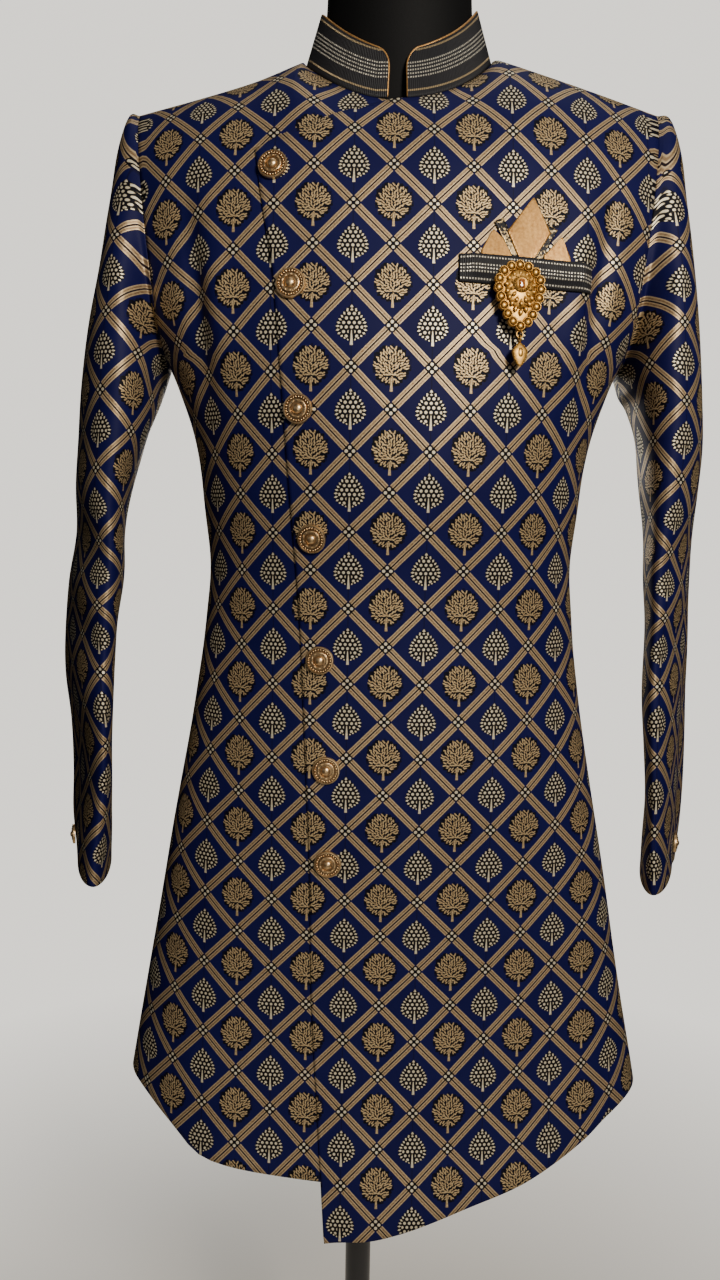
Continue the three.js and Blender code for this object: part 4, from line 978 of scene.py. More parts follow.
formBody = roundedCopy("formBody", "form_torso", 2)
poleTop, poleFoot = stand["formBottom"] - stand["gap"], stand["baseHeight"] + stand["gap"]
pole = startShape("standPole", "cylinder", vertices=64, radius=stand["poleRadius"] * mm,
                  depth=(poleTop - poleFoot) * mm,
                  location=(stand["x"] * mm, 0, (poleTop + poleFoot) / 2 * mm))
bpy.ops.object.shade_smooth_by_angle(angle=math.radians(40))
collarRing = turnedShape("standCollar", 24, 3, [(2.0, 4), (3.5, 12), (1.2, 6), (3.0, 1.0)], 64,
                         (stand["x"], 0, poleFoot))
bpy.ops.object.shade_smooth_by_angle(angle=math.radians(40))
base = startShape("standBase", "cylinder", vertices=160, radius=stand["baseRadius"] * mm,
                  depth=stand["baseHeight"] * mm,
                  location=(stand["x"] * mm, 0, stand["baseHeight"] / 2 * mm))
edge = base.modifiers.new("edge", "BEVEL")
edge.width, edge.segments = stand["baseEdge"] * mm, 4
edge.limit_method, edge.angle_limit = "ANGLE", math.radians(40)
bpy.ops.object.modifier_apply(modifier="edge")
bpy.ops.object.shade_smooth_by_angle(angle=math.radians(40))
print("form and stand made")


# ---- finishes ----
def newMaterial(name):
    material = bpy.data.materials.new(name)
    material.use_nodes = True
    tree = material.node_tree
    tree.nodes.clear()
    output = addNode(tree, "ShaderNodeOutputMaterial")
    return material, tree, output


def cutPlace(tree):
    place = addNode(tree, "ShaderNodeUVMap", {"uv_map": "cut"})
    parts = addNode(tree, "ShaderNodeSeparateXYZ", links={0: place.outputs[0]})
    return {"across": parts.outputs[0], "along": parts.outputs[1]}, place


# The woven figure, in mm on the flat cloth: a lattice of double bands with four dots where they cross,
# and in its lozenges, by turns, columns of round trees and columns of dotted leaves.
figure = {"wide": 63.1, "tall": 64.4, "shiftX": 27, "shiftY": 1276 - 64.4 * 20}


def figureSteps(tree, known):
    wide, tall = figure["wide"], figure["tall"]
    spacing = 1 / math.hypot(1 / wide, 1 / tall)
    steps = [
        ("u", "MULTIPLY_ADD", "across", 1000, -figure["shiftX"]),
        ("v", "MULTIPLY_ADD", "along", 1000, -figure["shiftY"]),
        ("a", "DIVIDE", "u", wide), ("b", "DIVIDE", "v", tall),
        ("p", "ADD", "a", "b"), ("q", "SUBTRACT", "a", "b"),
        # distance to the nearer band, and how far along it the nearest crossing is
        ("pRound", "ROUND", "p"), ("qRound", "ROUND", "q"),
        ("pOff", "SUBTRACT", "p", "pRound"), ("qOff", "SUBTRACT", "q", "qRound"),
        ("pFar", "ABSOLUTE", "pOff"), ("qFar", "ABSOLUTE", "qOff"),
        ("bandNear", "MINIMUM", "pFar", "qFar"), ("bandAlong", "MAXIMUM", "pFar", "qFar"),
        ("bandMm", "MULTIPLY", "bandNear", spacing), ("alongMm", "MULTIPLY", "bandAlong", spacing),
        ("bandIn", "held MULTIPLY_ADD", "bandMm", -2.4, 9.1),
        ("bandOut", "held MULTIPLY_ADD", "bandMm", 3.4, -1.7),
        ("bandClear", "held MULTIPLY_ADD", "alongMm", 2.5, -11.2),
        ("bandBoth", "MULTIPLY", "bandIn", "bandOut"), ("band", "MULTIPLY", "bandBoth", "bandClear"),
        # the bands' edge threads are a little brighter than their middles
        ("stripeOff", "SUBTRACT", "bandMm", 2.1), ("stripeFar", "ABSOLUTE", "stripeOff"),
        ("stripeEdge", "held MULTIPLY_ADD", "stripeFar", 1.7, -0.75),
        # four dots at a crossing
        ("crossU1", "ADD", "pOff", "qOff"), ("crossU", "MULTIPLY", "crossU1", wide / 2),
        ("crossV1", "SUBTRACT", "pOff", "qOff"), ("crossV", "MULTIPLY", "crossV1", tall / 2),
        ("crossUa", "ABSOLUTE", "crossU"), ("crossVa", "ABSOLUTE", "crossV"),
        ("crossMost", "MAXIMUM", "crossUa", "crossVa"), ("crossLeast", "MINIMUM", "crossUa", "crossVa"),
        ("crossIn", "SUBTRACT", "crossMost", 2.9), ("crossIn2", "MULTIPLY", "crossIn", "crossIn"),
        ("crossDot2", "MULTIPLY_ADD", "crossLeast", "crossLeast", "crossIn2"),
        ("crossDot", "held MULTIPLY_ADD", "crossDot2", -1.1, 2.6),
        ("crossGround", "held MULTIPLY_ADD", "crossMost", -1.4, 7.6),
        # the lozenge's own coordinates from its middle, and whether its column is of trees
        ("pCell", "FLOOR", "p"), ("qCell", "FLOOR", "q"),
        ("pIn", "SUBTRACT", "p", "pCell"), ("qIn", "SUBTRACT", "q", "qCell"),
        ("sumIn", "ADD", "pIn", "qIn"), ("xHalf", "MULTIPLY_ADD", "sumIn", wide / 2, -wide / 2),
        ("offIn", "SUBTRACT", "pIn", "qIn"), ("yHalf", "MULTIPLY", "offIn", tall / 2),
        ("cellSum", "ADD", "pCell", "qCell"), ("cellOdd", "FLOORED_MODULO", "cellSum", 2.0),
        ("isTree", "LESS_THAN", "cellOdd", 0.5),
        ("isLeaf", "SUBTRACT", 1.0, "isTree"),
    ]
    workOut(tree, known, steps)
    treeSteps(tree, known)
    leafSteps(tree, known)
    return known


# A round tree: short slender leaves, each in a cell of its own, that point away from the trunk's head.
def treeSteps(tree, known):
    centre = addNode(tree, "ShaderNodeCombineXYZ", links={0: known["xHalf"], 1: known["yHalf"]})
    cells = addNode(tree, "ShaderNodeTexVoronoi", {"voronoi_dimensions": "2D"},
                    {"Vector": centre.outputs[0], "Scale": 0.43, "Randomness": 0.75})
    spot = addNode(tree, "ShaderNodeSeparateXYZ", links={0: cells.outputs["Position"]})
    chance = addNode(tree, "ShaderNodeSeparateColor", links={0: cells.outputs["Color"]})
    known["spotX"], known["spotY"], known["chance"] = spot.outputs[0], spot.outputs[1], chance.outputs[0]
    workOut(tree, known, [
        ("fromX", "SUBTRACT", "xHalf", "spotX"), ("fromY", "SUBTRACT", "yHalf", "spotY"),
        ("rootUp", "ADD", "spotY", 5.5), ("lean0", "ARCTAN2", "spotX", "rootUp"),
        ("lean", "MULTIPLY_ADD", "chance", 1.5, "lean0"), ("leanMid", "SUBTRACT", "lean", 0.75),
        ("leanSin", "SINE", "leanMid"), ("leanCos", "COSINE", "leanMid"),
        ("along1", "MULTIPLY", "fromX", "leanSin"),
        ("leafAlong", "MULTIPLY_ADD", "fromY", "leanCos", "along1"),
        ("aside1", "MULTIPLY", "fromY", "leanSin"), ("aside2", "MULTIPLY", "fromX", "leanCos"),
        ("leafAside", "SUBTRACT", "aside2", "aside1"),
        ("aside", "DIVIDE", "leafAside", 0.56), ("alongShare", "DIVIDE", "leafAlong", 2.0),
        ("asideSq", "MULTIPLY", "aside", "aside"),
        ("leafSq", "MULTIPLY_ADD", "alongShare", "alongShare", "asideSq"),
        ("treeLeaf", "held MULTIPLY_ADD", "leafSq", -1.3, 1.9),
        # the crown: leaves whose cells lie in it
        ("crownY", "SUBTRACT", "spotY", 1.6), ("crownYs", "MULTIPLY", "crownY", 0.93),
        ("crownX2", "MULTIPLY", "spotX", "spotX"),
        ("crown2", "MULTIPLY_ADD", "crownYs", "crownYs", "crownX2"),
        ("inCrown", "LESS_THAN", "crown2", 13.2 ** 2), ("crownLeaf", "MULTIPLY", "treeLeaf", "inCrown"),
        # trunk, wider at its foot
        ("trunkDown", "SUBTRACT", -8.0, "yHalf"), ("trunkHold", "held MULTIPLY", "trunkDown", 0.09),
        ("trunkWide", "MULTIPLY_ADD", "trunkHold", 0.7, 0.45), ("treeXa", "ABSOLUTE", "xHalf"),
        ("trunkSide", "SUBTRACT", "trunkWide", "treeXa"),
        ("trunkIn", "held MULTIPLY_ADD", "trunkSide", 2.5, 0.5),
        ("trunkTop", "held MULTIPLY_ADD", "trunkDown", 1.5, 0.5),
        ("trunkFoot", "held MULTIPLY_ADD", "yHalf", 2.0, 37.5),
        ("trunkBoth", "MULTIPLY", "trunkTop", "trunkFoot"), ("trunk", "MULTIPLY", "trunkIn", "trunkBoth"),
        ("trunkGap", "held MULTIPLY_ADD", "trunkSide", -1.2, 0.0),
        ("trunkLeaf1", "SUBTRACT", 1.0, "trunkTop"),
        ("trunkLeaf", "MAXIMUM", "trunkGap", "trunkLeaf1"),
        ("crownClear", "MULTIPLY", "crownLeaf", "trunkLeaf"),
        ("treeAll", "MAXIMUM", "crownClear", "trunk"), ("tree", "MULTIPLY", "treeAll", "isTree"),
        ("treeGround1", "held MULTIPLY_ADD", "crown2", -0.04, 9.2),
        ("treeGround", "MULTIPLY", "treeGround1", "isTree"),
    ])


def leafSteps(tree, known):
    steps = [
        # outline of a pointed leaf: its half width falls to nothing at the tip
        ("upper", "held MULTIPLY_ADD", "yHalf", 1 / 18.0, 2.0 / 18.0),
        ("lower", "held MULTIPLY_ADD", "yHalf", -1 / 11.0, -2.0 / 11.0),
        ("upperPower", "POWER", "upper", 1.75), ("lowerPower", "POWER", "lower", 2.6),
        ("narrow1", "SUBTRACT", 1.0, "upperPower"), ("narrow", "SUBTRACT", "narrow1", "lowerPower"),
        ("leafHalf", "MULTIPLY", "narrow", 12.2), ("leafOn", "held MULTIPLY", "narrow", 9.0),
        ("xFar", "ABSOLUTE", "xHalf"),
        ("leafDeep", "SUBTRACT", "leafHalf", "xFar"),
        # a row of beads along the outline
        ("aroundY", "ADD", "yHalf", 1.0), ("around", "ARCTAN2", "xHalf", "aroundY"),
        ("beadAt", "MULTIPLY_ADD", "around", 24 / (2 * math.pi), 0.5), ("beadIn", "FRACT", "beadAt"),
        ("beadOff", "SUBTRACT", "beadIn", 0.5), ("beadFar", "ABSOLUTE", "beadOff"),
        ("outlineOff", "SUBTRACT", "leafDeep", 1.35), ("outlineFar", "ABSOLUTE", "outlineOff"),
        ("outlineScaled", "MULTIPLY", "outlineFar", 0.27),
        ("beadSize", "MULTIPLY_ADD", "beadFar", 1.45, "outlineScaled"),
        ("rimBead1", "held MULTIPLY_ADD", "beadSize", -7.0, 3.7),
        ("rimBead", "MULTIPLY", "rimBead1", "leafOn"),
        # dots in staggered rows inside
        ("dotRow1", "MULTIPLY_ADD", "yHalf", 1 / 3.5, 20.0), ("dotRow", "FLOOR", "dotRow1"),
        ("dotRowIn", "SUBTRACT", "dotRow1", "dotRow"), ("dotRowOff", "SUBTRACT", "dotRowIn", 0.5),
        ("dotStagger", "FLOORED_MODULO", "dotRow", 2.0), ("dotHalf", "MULTIPLY", "dotStagger", 0.5),
        ("dotCol1", "MULTIPLY_ADD", "xHalf", 1 / 4.1, "dotHalf"), ("dotCol", "FRACT", "dotCol1"),
        ("dotColOff", "SUBTRACT", "dotCol", 0.5),
        ("dotX", "MULTIPLY", "dotColOff", 4.1), ("dotY", "MULTIPLY", "dotRowOff", 3.5),
        ("dotX2", "MULTIPLY", "dotX", "dotX"), ("dot2", "MULTIPLY_ADD", "dotY", "dotY", "dotX2"),
        ("dot", "held MULTIPLY_ADD", "dot2", -1.0, 2.0), ("deep", "held MULTIPLY_ADD", "leafDeep", 1.5, -4.6),
        ("stemHigh", "SUBTRACT", -4.0, "yHalf"), ("stemDown", "held MULTIPLY", "stemHigh", 0.077),
        ("stemOn", "held MULTIPLY_ADD", "stemHigh", 1.2, 0.5), ("stemClear1", "SUBTRACT", "xFar", 2.2),
        ("stemClear2", "held MULTIPLY_ADD", "stemClear1", 1.5, 0.5), ("stemOff", "SUBTRACT", 1.0, "stemOn"),
        ("stemClear", "MAXIMUM", "stemClear2", "stemOff"),
        ("dotDeep", "MULTIPLY", "dot", "deep"), ("dots", "MULTIPLY", "dotDeep", "stemClear"),
        # stem, widening to a foot
        ("stemWide", "MULTIPLY_ADD", "stemDown", 0.9, 0.35), ("stemSide", "SUBTRACT", "stemWide", "xFar"),
        ("stemIn", "held MULTIPLY_ADD", "stemSide", 2.5, 0.5),
        ("stemFoot", "held MULTIPLY_ADD", "yHalf", 2.0, 31.5),
        ("stemBoth", "MULTIPLY", "stemIn", "stemOn"), ("stem", "MULTIPLY", "stemBoth", "stemFoot"),
        ("leafSome", "MAXIMUM", "dots", "rimBead"), ("leafMost", "MULTIPLY", "leafSome", "stemClear"),
        ("leafEver", "MAXIMUM", "leafMost", "stem"), ("leaf", "MULTIPLY", "leafEver", "isLeaf"),
        ("leafGround1", "held MULTIPLY_ADD", "leafDeep", 0.8, 0.6),
        ("leafGround", "MULTIPLY", "leafGround1", "isLeaf"),
    ]
    workOut(tree, known, steps)


def brocadeMaterial():
    # silk brocade: a satin navy ground with matt gold and cream figuring threads floated over it
    material, tree, output = newMaterial("silk brocade, navy with gold figure")
    known, place = cutPlace(tree)
    figureSteps(tree, known)
    workOut(tree, known, [
        ("dark1", "MAXIMUM", "treeGround", "leafGround"), ("dark", "MAXIMUM", "dark1", "crossGround"),
        ("gold1", "MAXIMUM", "band", "tree"), ("gold2", "MAXIMUM", "gold1", "leaf"),
        ("figured", "MAXIMUM", "gold2", "crossDot"), ("bright1", "MAXIMUM", "leaf", "crossDot"),
        ("bandHeart1", "held MULTIPLY_ADD", "bandMm", -3.0, 2.1),
        ("bandHeart", "MULTIPLY", "bandHeart1", "bandClear"),
        # threads, drawn at twice their real pitch so that they show
        ("weft", "MULTIPLY", "along", 2 * math.pi / (1.0 * mm)), ("weftWave", "SINE", "weft"),
        ("warp", "MULTIPLY", "across", 2 * math.pi / (1.0 * mm)),
        ("twillSum", "ADD", "weft", "warp"), ("twill", "SINE", "twillSum"),
    ])
    speckle = addNode(tree, "ShaderNodeTexNoise",
                      links={"Vector": place.outputs[0], "Scale": 700.0, "Detail": 2.0})
    cloudy = addNode(tree, "ShaderNodeTexNoise",
                     links={"Vector": place.outputs[0], "Scale": 22.0, "Detail": 3.0})
    known["speck"], known["cloud"] = speckle.outputs[0], cloudy.outputs[0]
    workOut(tree, known, [
        ("stripeTone", "MULTIPLY_ADD", "stripeEdge", 0.55, "speck"),
        ("stripeMix", "held MULTIPLY_ADD", "stripeTone", 1.1, -0.35),
        ("threadTone", "held MULTIPLY_ADD", "speck", 2.4, -0.75),
        ("groundTone", "held MULTIPLY_ADD", "cloud", 1.2, -0.2),
    ])
    colour = layColours(tree, known, [
        ("ground", "groundTone", "#0a0b3c", "#121449"), ("ground", "dark", "ground", "#07060f"),
        ("ground", "bandHeart", "ground", "#1c1014"), ("bandGold", "stripeMix", "#7b6045", "#d4bd94"),
        ("figureGold", "threadTone", "#a2865f", "#dcc598"), ("cream", "threadTone", "#cfc2a0", "#f3ecd6"),
        ("gold", "tree", "bandGold", "figureGold"), ("gold", "bright1", "gold", "cream"),
        ("colour", "figured", "ground", "gold"),
    ])
    workOut(tree, known, [
        ("metal", "MULTIPLY", "figured", 0.55), ("rough", "MULTIPLY_ADD", "figured", -0.1, 0.58),
        ("lift", "MULTIPLY_ADD", "figured", 0.12, 0.0), ("twillLift", "MULTIPLY_ADD", "twill", 0.012, "lift"),
        ("weaveLift", "MULTIPLY_ADD", "weftWave", 0.01, "twillLift"),
    ])
    relief = addNode(tree, "ShaderNodeBump",
                     links={"Strength": 0.5, "Distance": 1.2 * mm, "Height": known["weaveLift"]})
    shader = addNode(tree, "ShaderNodeBsdfPrincipled", links={
        "Base Color": colour, "Metallic": known["metal"], "Roughness": known["rough"],
        "Normal": relief.outputs[0],
        "Specular IOR Level": 0.12})
    tree.links.new(shader.outputs[0], output.inputs[0])
    return material


def reverseMaterial():
    # the brocade's back: loose floats of gold and navy threads that blur the figure
    material, tree, output = newMaterial("brocade reverse, blurred floats")
    known, place = cutPlace(tree)
    floats = addNode(tree, "ShaderNodeTexNoise",
                     links={"Vector": place.outputs[0], "Scale": 160.0, "Detail": 4.0})
    known["float"] = floats.outputs[0]
    workOut(tree, known, [("tone", "held MULTIPLY_ADD", "float", 2.6, -1.0),
                          ("line", "MULTIPLY", "along", 2 * math.pi / (1.2 * mm)), ("ridge", "SINE", "line")])
    colour = layColours(tree, known, [("colour", "tone", "#121330", "#4b3d35")])
    relief = addNode(tree, "ShaderNodeBump",
                     links={"Strength": 0.4, "Distance": 0.3 * mm, "Height": known["ridge"]})
    shader = addNode(tree, "ShaderNodeBsdfPrincipled", links={
        "Base Color": colour, "Roughness": 0.8, "Normal": relief.outputs[0], "Specular IOR Level": 0.3})
    tree.links.new(shader.outputs[0], output.inputs[0])
    return material


# A ribbed black band with lines of metal thread: beaded lines are broken into beads, cords are whole.
def bandMaterial(name, beaded, corded, ribPitch):
    material, tree, output = newMaterial(name)
    known, place = cutPlace(tree)
    workOut(tree, known, [
        ("u", "MULTIPLY", "across", 1000), ("v", "MULTIPLY", "along", 1000),
        ("beadTurn", "MULTIPLY", "u", 2 * math.pi / 2.3), ("beadWave", "SINE", "beadTurn"),
        ("beadShape", "held MULTIPLY_ADD", "beadWave", 1.6, 0.9),
        ("ribTurn", "MULTIPLY", "v", 2 * math.pi / ribPitch), ("rib", "SINE", "ribTurn"),
        ("stitchTurn", "MULTIPLY", "u", 2 * math.pi / 1.7), ("stitch", "SINE", "stitchTurn"),
        ("cordShape", "held MULTIPLY_ADD", "stitch", 0.5, 0.75),
        ("ribStitch", "MULTIPLY_ADD", "rib", 0.25, "stitch"),
        ("beads", "ADD", 0.0, 0.0), ("cords", "ADD", 0.0, 0.0),
    ])
    for kind, rows, half in (("beads", beaded, 0.62), ("cords", corded, 0.7)):
        for row in rows:
            workOut(tree, known, [("off", "SUBTRACT", "v", row), ("far", "ABSOLUTE", "off"),
                                  ("line", "held MULTIPLY_ADD", "far", -2.2, 2.2 * half + 0.5),
                                  (kind, "MAXIMUM", kind, "line")])
    workOut(tree, known, [
        ("beadLine", "MULTIPLY", "beads", "beadShape"), ("cordThread", "MULTIPLY", "cords", "cordShape"),
        ("metalThread", "MAXIMUM", "beadLine", "cordThread"),
        ("groundTone", "held MULTIPLY_ADD", "ribStitch", 0.5, 0.4),
        ("metal", "MULTIPLY", "metalThread", 0.7), ("rough", "MULTIPLY_ADD", "metalThread", -0.25, 0.6),
        ("height1", "MULTIPLY", "stitch", 0.3), ("height", "ADD", "height1", "metalThread"),
    ])
    colour = layColours(tree, known, [
        ("ground", "groundTone", "#020204", "#15151d"), ("ground", "cordThread", "ground", "#dcc294"),
        ("colour", "beadLine", "ground", "#f0ead9"),
    ])
    relief = addNode(tree, "ShaderNodeBump",
                     links={"Strength": 0.9, "Distance": 0.6 * mm, "Height": known["height"]})
    shader = addNode(tree, "ShaderNodeBsdfPrincipled", links={
        "Base Color": colour, "Metallic": known["metal"], "Roughness": known["rough"],
        "Normal": relief.outputs[0]})
    tree.links.new(shader.outputs[0], output.inputs[0])
    return material


def satinMaterial(name, light, dark, pitch, contrast=1.0):
    # a satin weave of fine gold-coloured threads: soft broken shine along the threads
    material, tree, output = newMaterial(name)
    known, place = cutPlace(tree)
    threads = addNode(tree, "ShaderNodeTexNoise",
                      links={"Vector": place.outputs[0], "Scale": 420.0, "Detail": 3.0})
    broad = addNode(tree, "ShaderNodeTexNoise",
                    links={"Vector": place.outputs[0], "Scale": 60.0, "Detail": 1.0})
    known["thread"], known["broad"] = threads.outputs[0], broad.outputs[0]
    workOut(tree, known, [("both", "MULTIPLY_ADD", "broad", 0.6, "thread"),
                          ("tone", "held MULTIPLY_ADD", "both", 1.5 * contrast, 0.5 - 1.2 * contrast),
                          ("line", "MULTIPLY", "across", 2 * math.pi / (pitch * mm)),
                          ("ridge", "SINE", "line")])
    colour = layColours(tree, known, [("colour", "tone", dark, light)])
    relief = addNode(tree, "ShaderNodeBump",
                     links={"Strength": 0.25, "Distance": 0.2 * mm, "Height": known["ridge"]})
    shader = addNode(tree, "ShaderNodeBsdfPrincipled", links={
        "Base Color": colour, "Metallic": 0.55, "Roughness": 0.36, "Normal": relief.outputs[0]})
    tree.links.new(shader.outputs[0], output.inputs[0])
    return material


def plateMaterial(name, bright, dull, rough):
    # antique gold plate over cast brass: polished on what stands up, brown in the sunk places
    material, tree, output = newMaterial(name)
    place = addNode(tree, "ShaderNodeTexCoord")
    sunk = addNode(tree, "ShaderNodeAmbientOcclusion", {"samples": 6}, {"Distance": 1.6 * mm})
    mottled = addNode(tree, "ShaderNodeTexNoise",
                      links={"Vector": place.outputs["Object"], "Scale": 900.0, "Detail": 3.0})
    known = {"open": sunk.outputs["AO"], "mottle": mottled.outputs[0]}
    workOut(tree, known, [
        ("clear", "held MULTIPLY_ADD", "open", 1.9, -0.75), ("wear", "MULTIPLY_ADD", "mottle", 0.5, -0.25),
        ("tone", "held ADD", "clear", "wear"), ("rough", "MULTIPLY_ADD", "mottle", 0.25, rough - 0.12),
    ])
    colour = layColours(tree, known, [("colour", "tone", dull, bright)])
    relief = addNode(tree, "ShaderNodeBump",
                     links={"Strength": 0.3, "Distance": 0.15 * mm, "Height": known["mottle"]})
    shader = addNode(tree, "ShaderNodeBsdfPrincipled", links={
        "Base Color": colour, "Metallic": 1.0, "Roughness": known["rough"], "Normal": relief.outputs[0]})
    tree.links.new(shader.outputs[0], output.inputs[0])
    return material


def stoneMaterial():
    # a foiled brown glass stone: glossy, deep amber with darker clouds
    material, tree, output = newMaterial("foiled brown glass stone")
    place = addNode(tree, "ShaderNodeTexCoord")
    clouds = addNode(tree, "ShaderNodeTexNoise", links={"Vector": place.outputs["Object"], "Scale": 420.0})
    colour = layColours(tree, {"clouds": clouds.outputs[0]}, [("colour", "clouds", "#7a3a12", "#b0692c")])
    shader = addNode(tree, "ShaderNodeBsdfPrincipled", links={
        "Base Color": colour, "Roughness": 0.12, "IOR": 1.52, "Coat Weight": 0.6, "Coat Roughness": 0.05})
    tree.links.new(shader.outputs[0], output.inputs[0])
    return material


def coverMaterial():
    # the form's stretched black jersey cover: matt, with a very fine knit
    material, tree, output = newMaterial("black stretched jersey")
    place = addNode(tree, "ShaderNodeTexCoord")
    knit = addNode(tree, "ShaderNodeTexNoise",
                   links={"Vector": place.outputs["Object"], "Scale": 1400.0, "Detail": 2.0})
    known = {"knit": knit.outputs[0]}
    workOut(tree, known, [("rough", "MULTIPLY_ADD", "knit", 0.2, 0.62)])
    colour = layColours(tree, known, [("colour", "knit", "#030304", "#08090a")])
    relief = addNode(tree, "ShaderNodeBump",
                     links={"Strength": 0.35, "Distance": 0.3 * mm, "Height": known["knit"]})
    shader = addNode(tree, "ShaderNodeBsdfPrincipled", links={
        "Base Color": colour, "Roughness": known["rough"], "Normal": relief.outputs[0],
        "Specular IOR Level": 0.2})
    tree.links.new(shader.outputs[0], output.inputs[0])
    return material


def enamelMaterial():
    # black stoved enamel on steel: smooth gloss with a slight orange peel
    material, tree, output = newMaterial("black stoved enamel")
    place = addNode(tree, "ShaderNodeTexCoord")
    peel = addNode(tree, "ShaderNodeTexNoise",
                   links={"Vector": place.outputs["Object"], "Scale": 260.0, "Detail": 1.0})
    dust = addNode(tree, "ShaderNodeTexNoise",
                   links={"Vector": place.outputs["Object"], "Scale": 30.0, "Detail": 4.0})
    known = {"dust": dust.outputs[0]}
    workOut(tree, known, [("rough", "MULTIPLY_ADD", "dust", 0.22, 0.2)])
    colour = layColours(tree, known, [("colour", "dust", "#0b0b0d", "#191a1d")])
    relief = addNode(tree, "ShaderNodeBump",
                     links={"Strength": 0.08, "Distance": 0.3 * mm, "Height": peel.outputs[0]})
    shader = addNode(tree, "ShaderNodeBsdfPrincipled", links={
        "Base Color": colour, "Roughness": known["rough"], "Normal": relief.outputs[0], "Coat Weight": 0.3})
    tree.links.new(shader.outputs[0], output.inputs[0])
    return material


brocade = brocadeMaterial()
reverse = reverseMaterial()
collarFinish = bandMaterial("ribbed black band, silver and gold thread", [16.5, 19.5, 22.5, 25.5, 28.5],
                            [5.5, 39.0], 1.5)
weltFinish = bandMaterial("ribbed navy band, silver thread", [2.4, 7.6, 10.2, 12.8, 18.6], [], 1.3)
pipingFinish = satinMaterial("gold satin piping", "#d9a763", "#8f6334", 0.8)
satin = satinMaterial("old gold satin", "#cf9f58", "#8f5f26", 1.0)
flecked = satinMaterial("flecked gold and black strip", "#c9ae7c", "#05050c", 1.0, 7.0)
plate = plateMaterial("antique gold plate", "#f2cf9c", "#6b4322", 0.36)
broochPlate = plateMaterial("brooch gold plate", "#dfae5c", "#6f3f14", 0.44)
stone = stoneMaterial()
cover = coverMaterial()
enamel = enamelMaterial()

dressing = [
    (underFront, brocade, "brocade", "front_under"), (upperFront, brocade, "brocade", "front_upper"),
    (backPanel, brocade, "brocade", "back"), (rightSleeve, brocade, "brocade", "sleeve_right"),
    (leftSleeve, brocade, "brocade", "sleeve_left"), (collarBand, collarFinish, "trim_band", "collar"),
    (collarPiping, pipingFinish, "satin", None), (pocketWelt, weltFinish, "trim_band", "pocket_welt"),
    (rightPeak, satin, "satin", "pocket_square_right"), (leftPeak, satin, "satin", "pocket_square_left"),
    (middlePeak, satin, "satin", "pocket_square_middle"), (rightStrip, flecked, "brocade", None),
    (leftStrip, flecked, "brocade", None), (broochPiece, broochPlate, "brooch_metal", "brooch"),
    (broochStone, stone, "brooch_metal", None), (dropPiece, broochPlate, "brooch_metal", "brooch_drop"),
    (formBody, cover, "form_cover", "form_torso"), (pole, enamel, "stand_enamel", "stand_pole"),
    (collarRing, enamel, "stand_enamel", None), (base, enamel, "stand_enamel", "stand_base"),
    (cuffButtons[0], plate, "button_metal", "cuff_button_right"),
    (cuffButtons[1], plate, "button_metal", "cuff_button_left"),
] + [(made, plate, "button_metal", "button_%d" % number) for number, made in enumerate(buttons, 1)]
for piece, finish, slotName, node in dressing:
    piece.data.materials.clear()
    piece.data.materials.append(finish)
    piece.data.materials.append(reverse if finish is brocade else finish)
    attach(piece, "drop" if node == "brooch_drop" else "root")
    if node:
        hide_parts(node)
print("finishes given")


# ---- studio ----
studio = {"lens": 27.70, "place": (-0.026, -0.912, 1.092), "down": 7.0, "roll": 0.85,
          "wall": "#dedad2", "seen": 1.9, "key": 46.0, "fill": 1.2, "top": 5.0, "front": 3.0, "back": 26.0,
          "world": 0.05}


def softLight(name, place, aim, size, power, colour):
    light = bpy.data.lights.new(name, "AREA")
    light.shape, light.size, light.energy = "DISK", size, power
    light.color = linear(colour)[:3]
    lamp = bpy.data.objects.new(name, light)
    lamp.location = place
    lamp.rotation_euler = (Vector(aim) - Vector(place)).to_track_quat("-Z", "Y").to_euler()
    bpy.context.collection.objects.link(lamp)


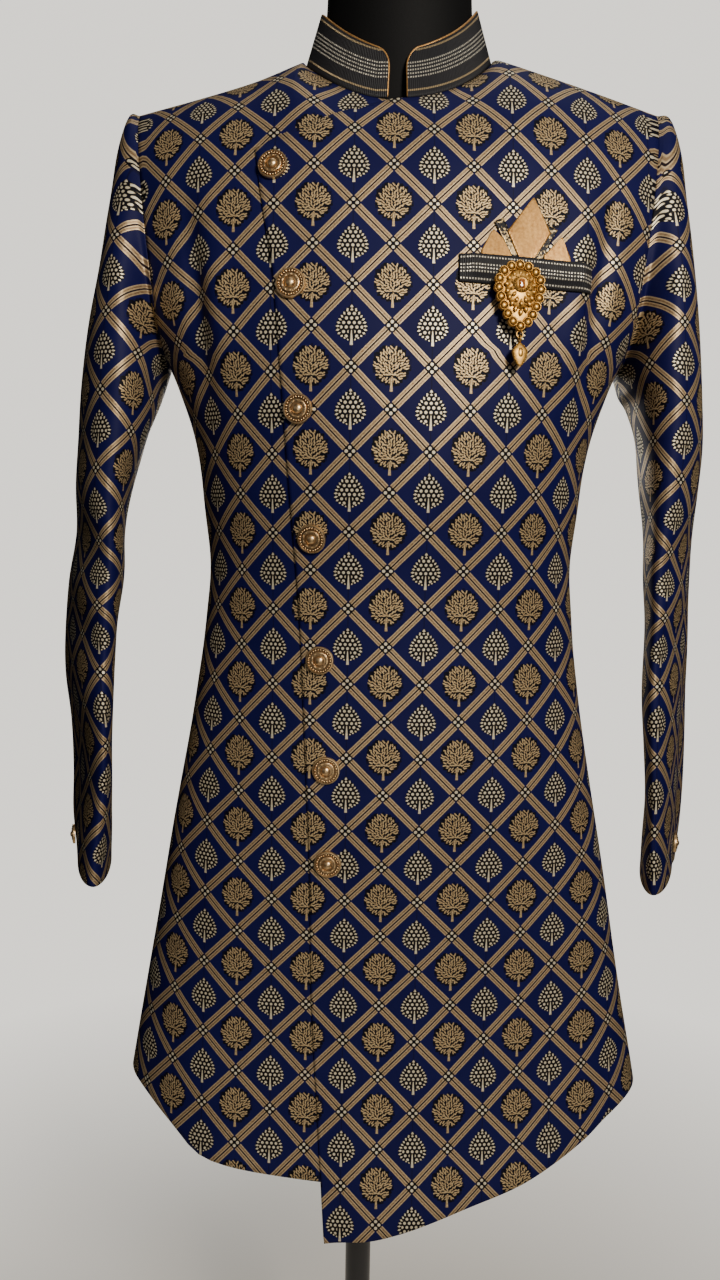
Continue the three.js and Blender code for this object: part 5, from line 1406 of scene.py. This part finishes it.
# The pale studio is seen by the camera only; what lights the coat is a dim room and five lamps. The floor
# turns into the same pale tone away from the stand.
floor = startShape("floor", "plane", size=60)
plain, plainTree, plainOutput = newMaterial("pale matt floor")
floorPlace = addNode(plainTree, "ShaderNodeTexCoord")
floorReach = addNode(plainTree, "ShaderNodeVectorMath", {"operation": "LENGTH"},
                     {0: floorPlace.outputs["Object"]})
seen = addNode(plainTree, "ShaderNodeLightPath")
floorKnown = {"reach": floorReach.outputs["Value"], "seen": seen.outputs["Is Camera Ray"]}
workOut(plainTree, floorKnown,
        [("far", "held MULTIPLY_ADD", "reach", 0.95, -0.3), ("glow", "MULTIPLY", "seen", studio["seen"])])
plainShader = addNode(plainTree, "ShaderNodeBsdfPrincipled", links={
    "Base Color": linear(studio["wall"]), "Roughness": 0.85, "Specular IOR Level": 0.2})
plainGlow = addNode(plainTree, "ShaderNodeEmission",
                    links={"Color": linear(studio["wall"]), "Strength": floorKnown["glow"]})
plainMix = addNode(plainTree, "ShaderNodeMixShader",
                   links={0: floorKnown["far"], 1: plainShader.outputs[0], 2: plainGlow.outputs[0]})
plainTree.links.new(plainMix.outputs[0], plainOutput.inputs[0])
floor.data.materials.append(plain)

world = bpy.data.worlds.new("studio")
bpy.context.scene.world = world
world.use_nodes = True
room = world.node_tree
background = room.nodes["Background"]
background.inputs[0].default_value = linear(studio["wall"])
worldSeen = addNode(room, "ShaderNodeLightPath")
worldKnown = workOut(room, {"seen": worldSeen.outputs["Is Camera Ray"]},
                     [("level", "MULTIPLY_ADD", "seen", studio["seen"] - studio["world"], studio["world"])])
room.links.new(worldKnown["level"], background.inputs[1])

softLight("key", (0.75, -1.8, 1.95), (0.0, 0.0, 1.1), 0.5, studio["key"], "#fff6ea")
softLight("fill", (-1.7, -1.3, 1.5), (0, 0, 1.0), 1.4, studio["fill"], "#eef2ff")
softLight("top", (0.2, 0.3, 2.9), (0, 0, 1.2), 1.4, studio["top"], "#ffffff")
softLight("front", (0.1, -1.9, 0.7), (0, 0, 0.75), 0.8, studio["front"], "#fffaf2")
softLight("back", (-0.5, 2.4, 1.7), (0, 0, 1.0), 1.2, studio["back"], "#fffaf2")

lens = bpy.data.cameras.new("camera")
lens.sensor_width, lens.lens = 36.0, studio["lens"]
camera = bpy.data.objects.new("camera", lens)
bpy.context.collection.objects.link(camera)
tilt = Matrix.Rotation(math.radians(90 - studio["down"]), 4, "X")
roll = Matrix.Rotation(math.radians(studio["roll"]), 4, "Z")
camera.matrix_world = Matrix.Translation(studio["place"]) @ tilt @ roll
bpy.context.scene.camera = camera
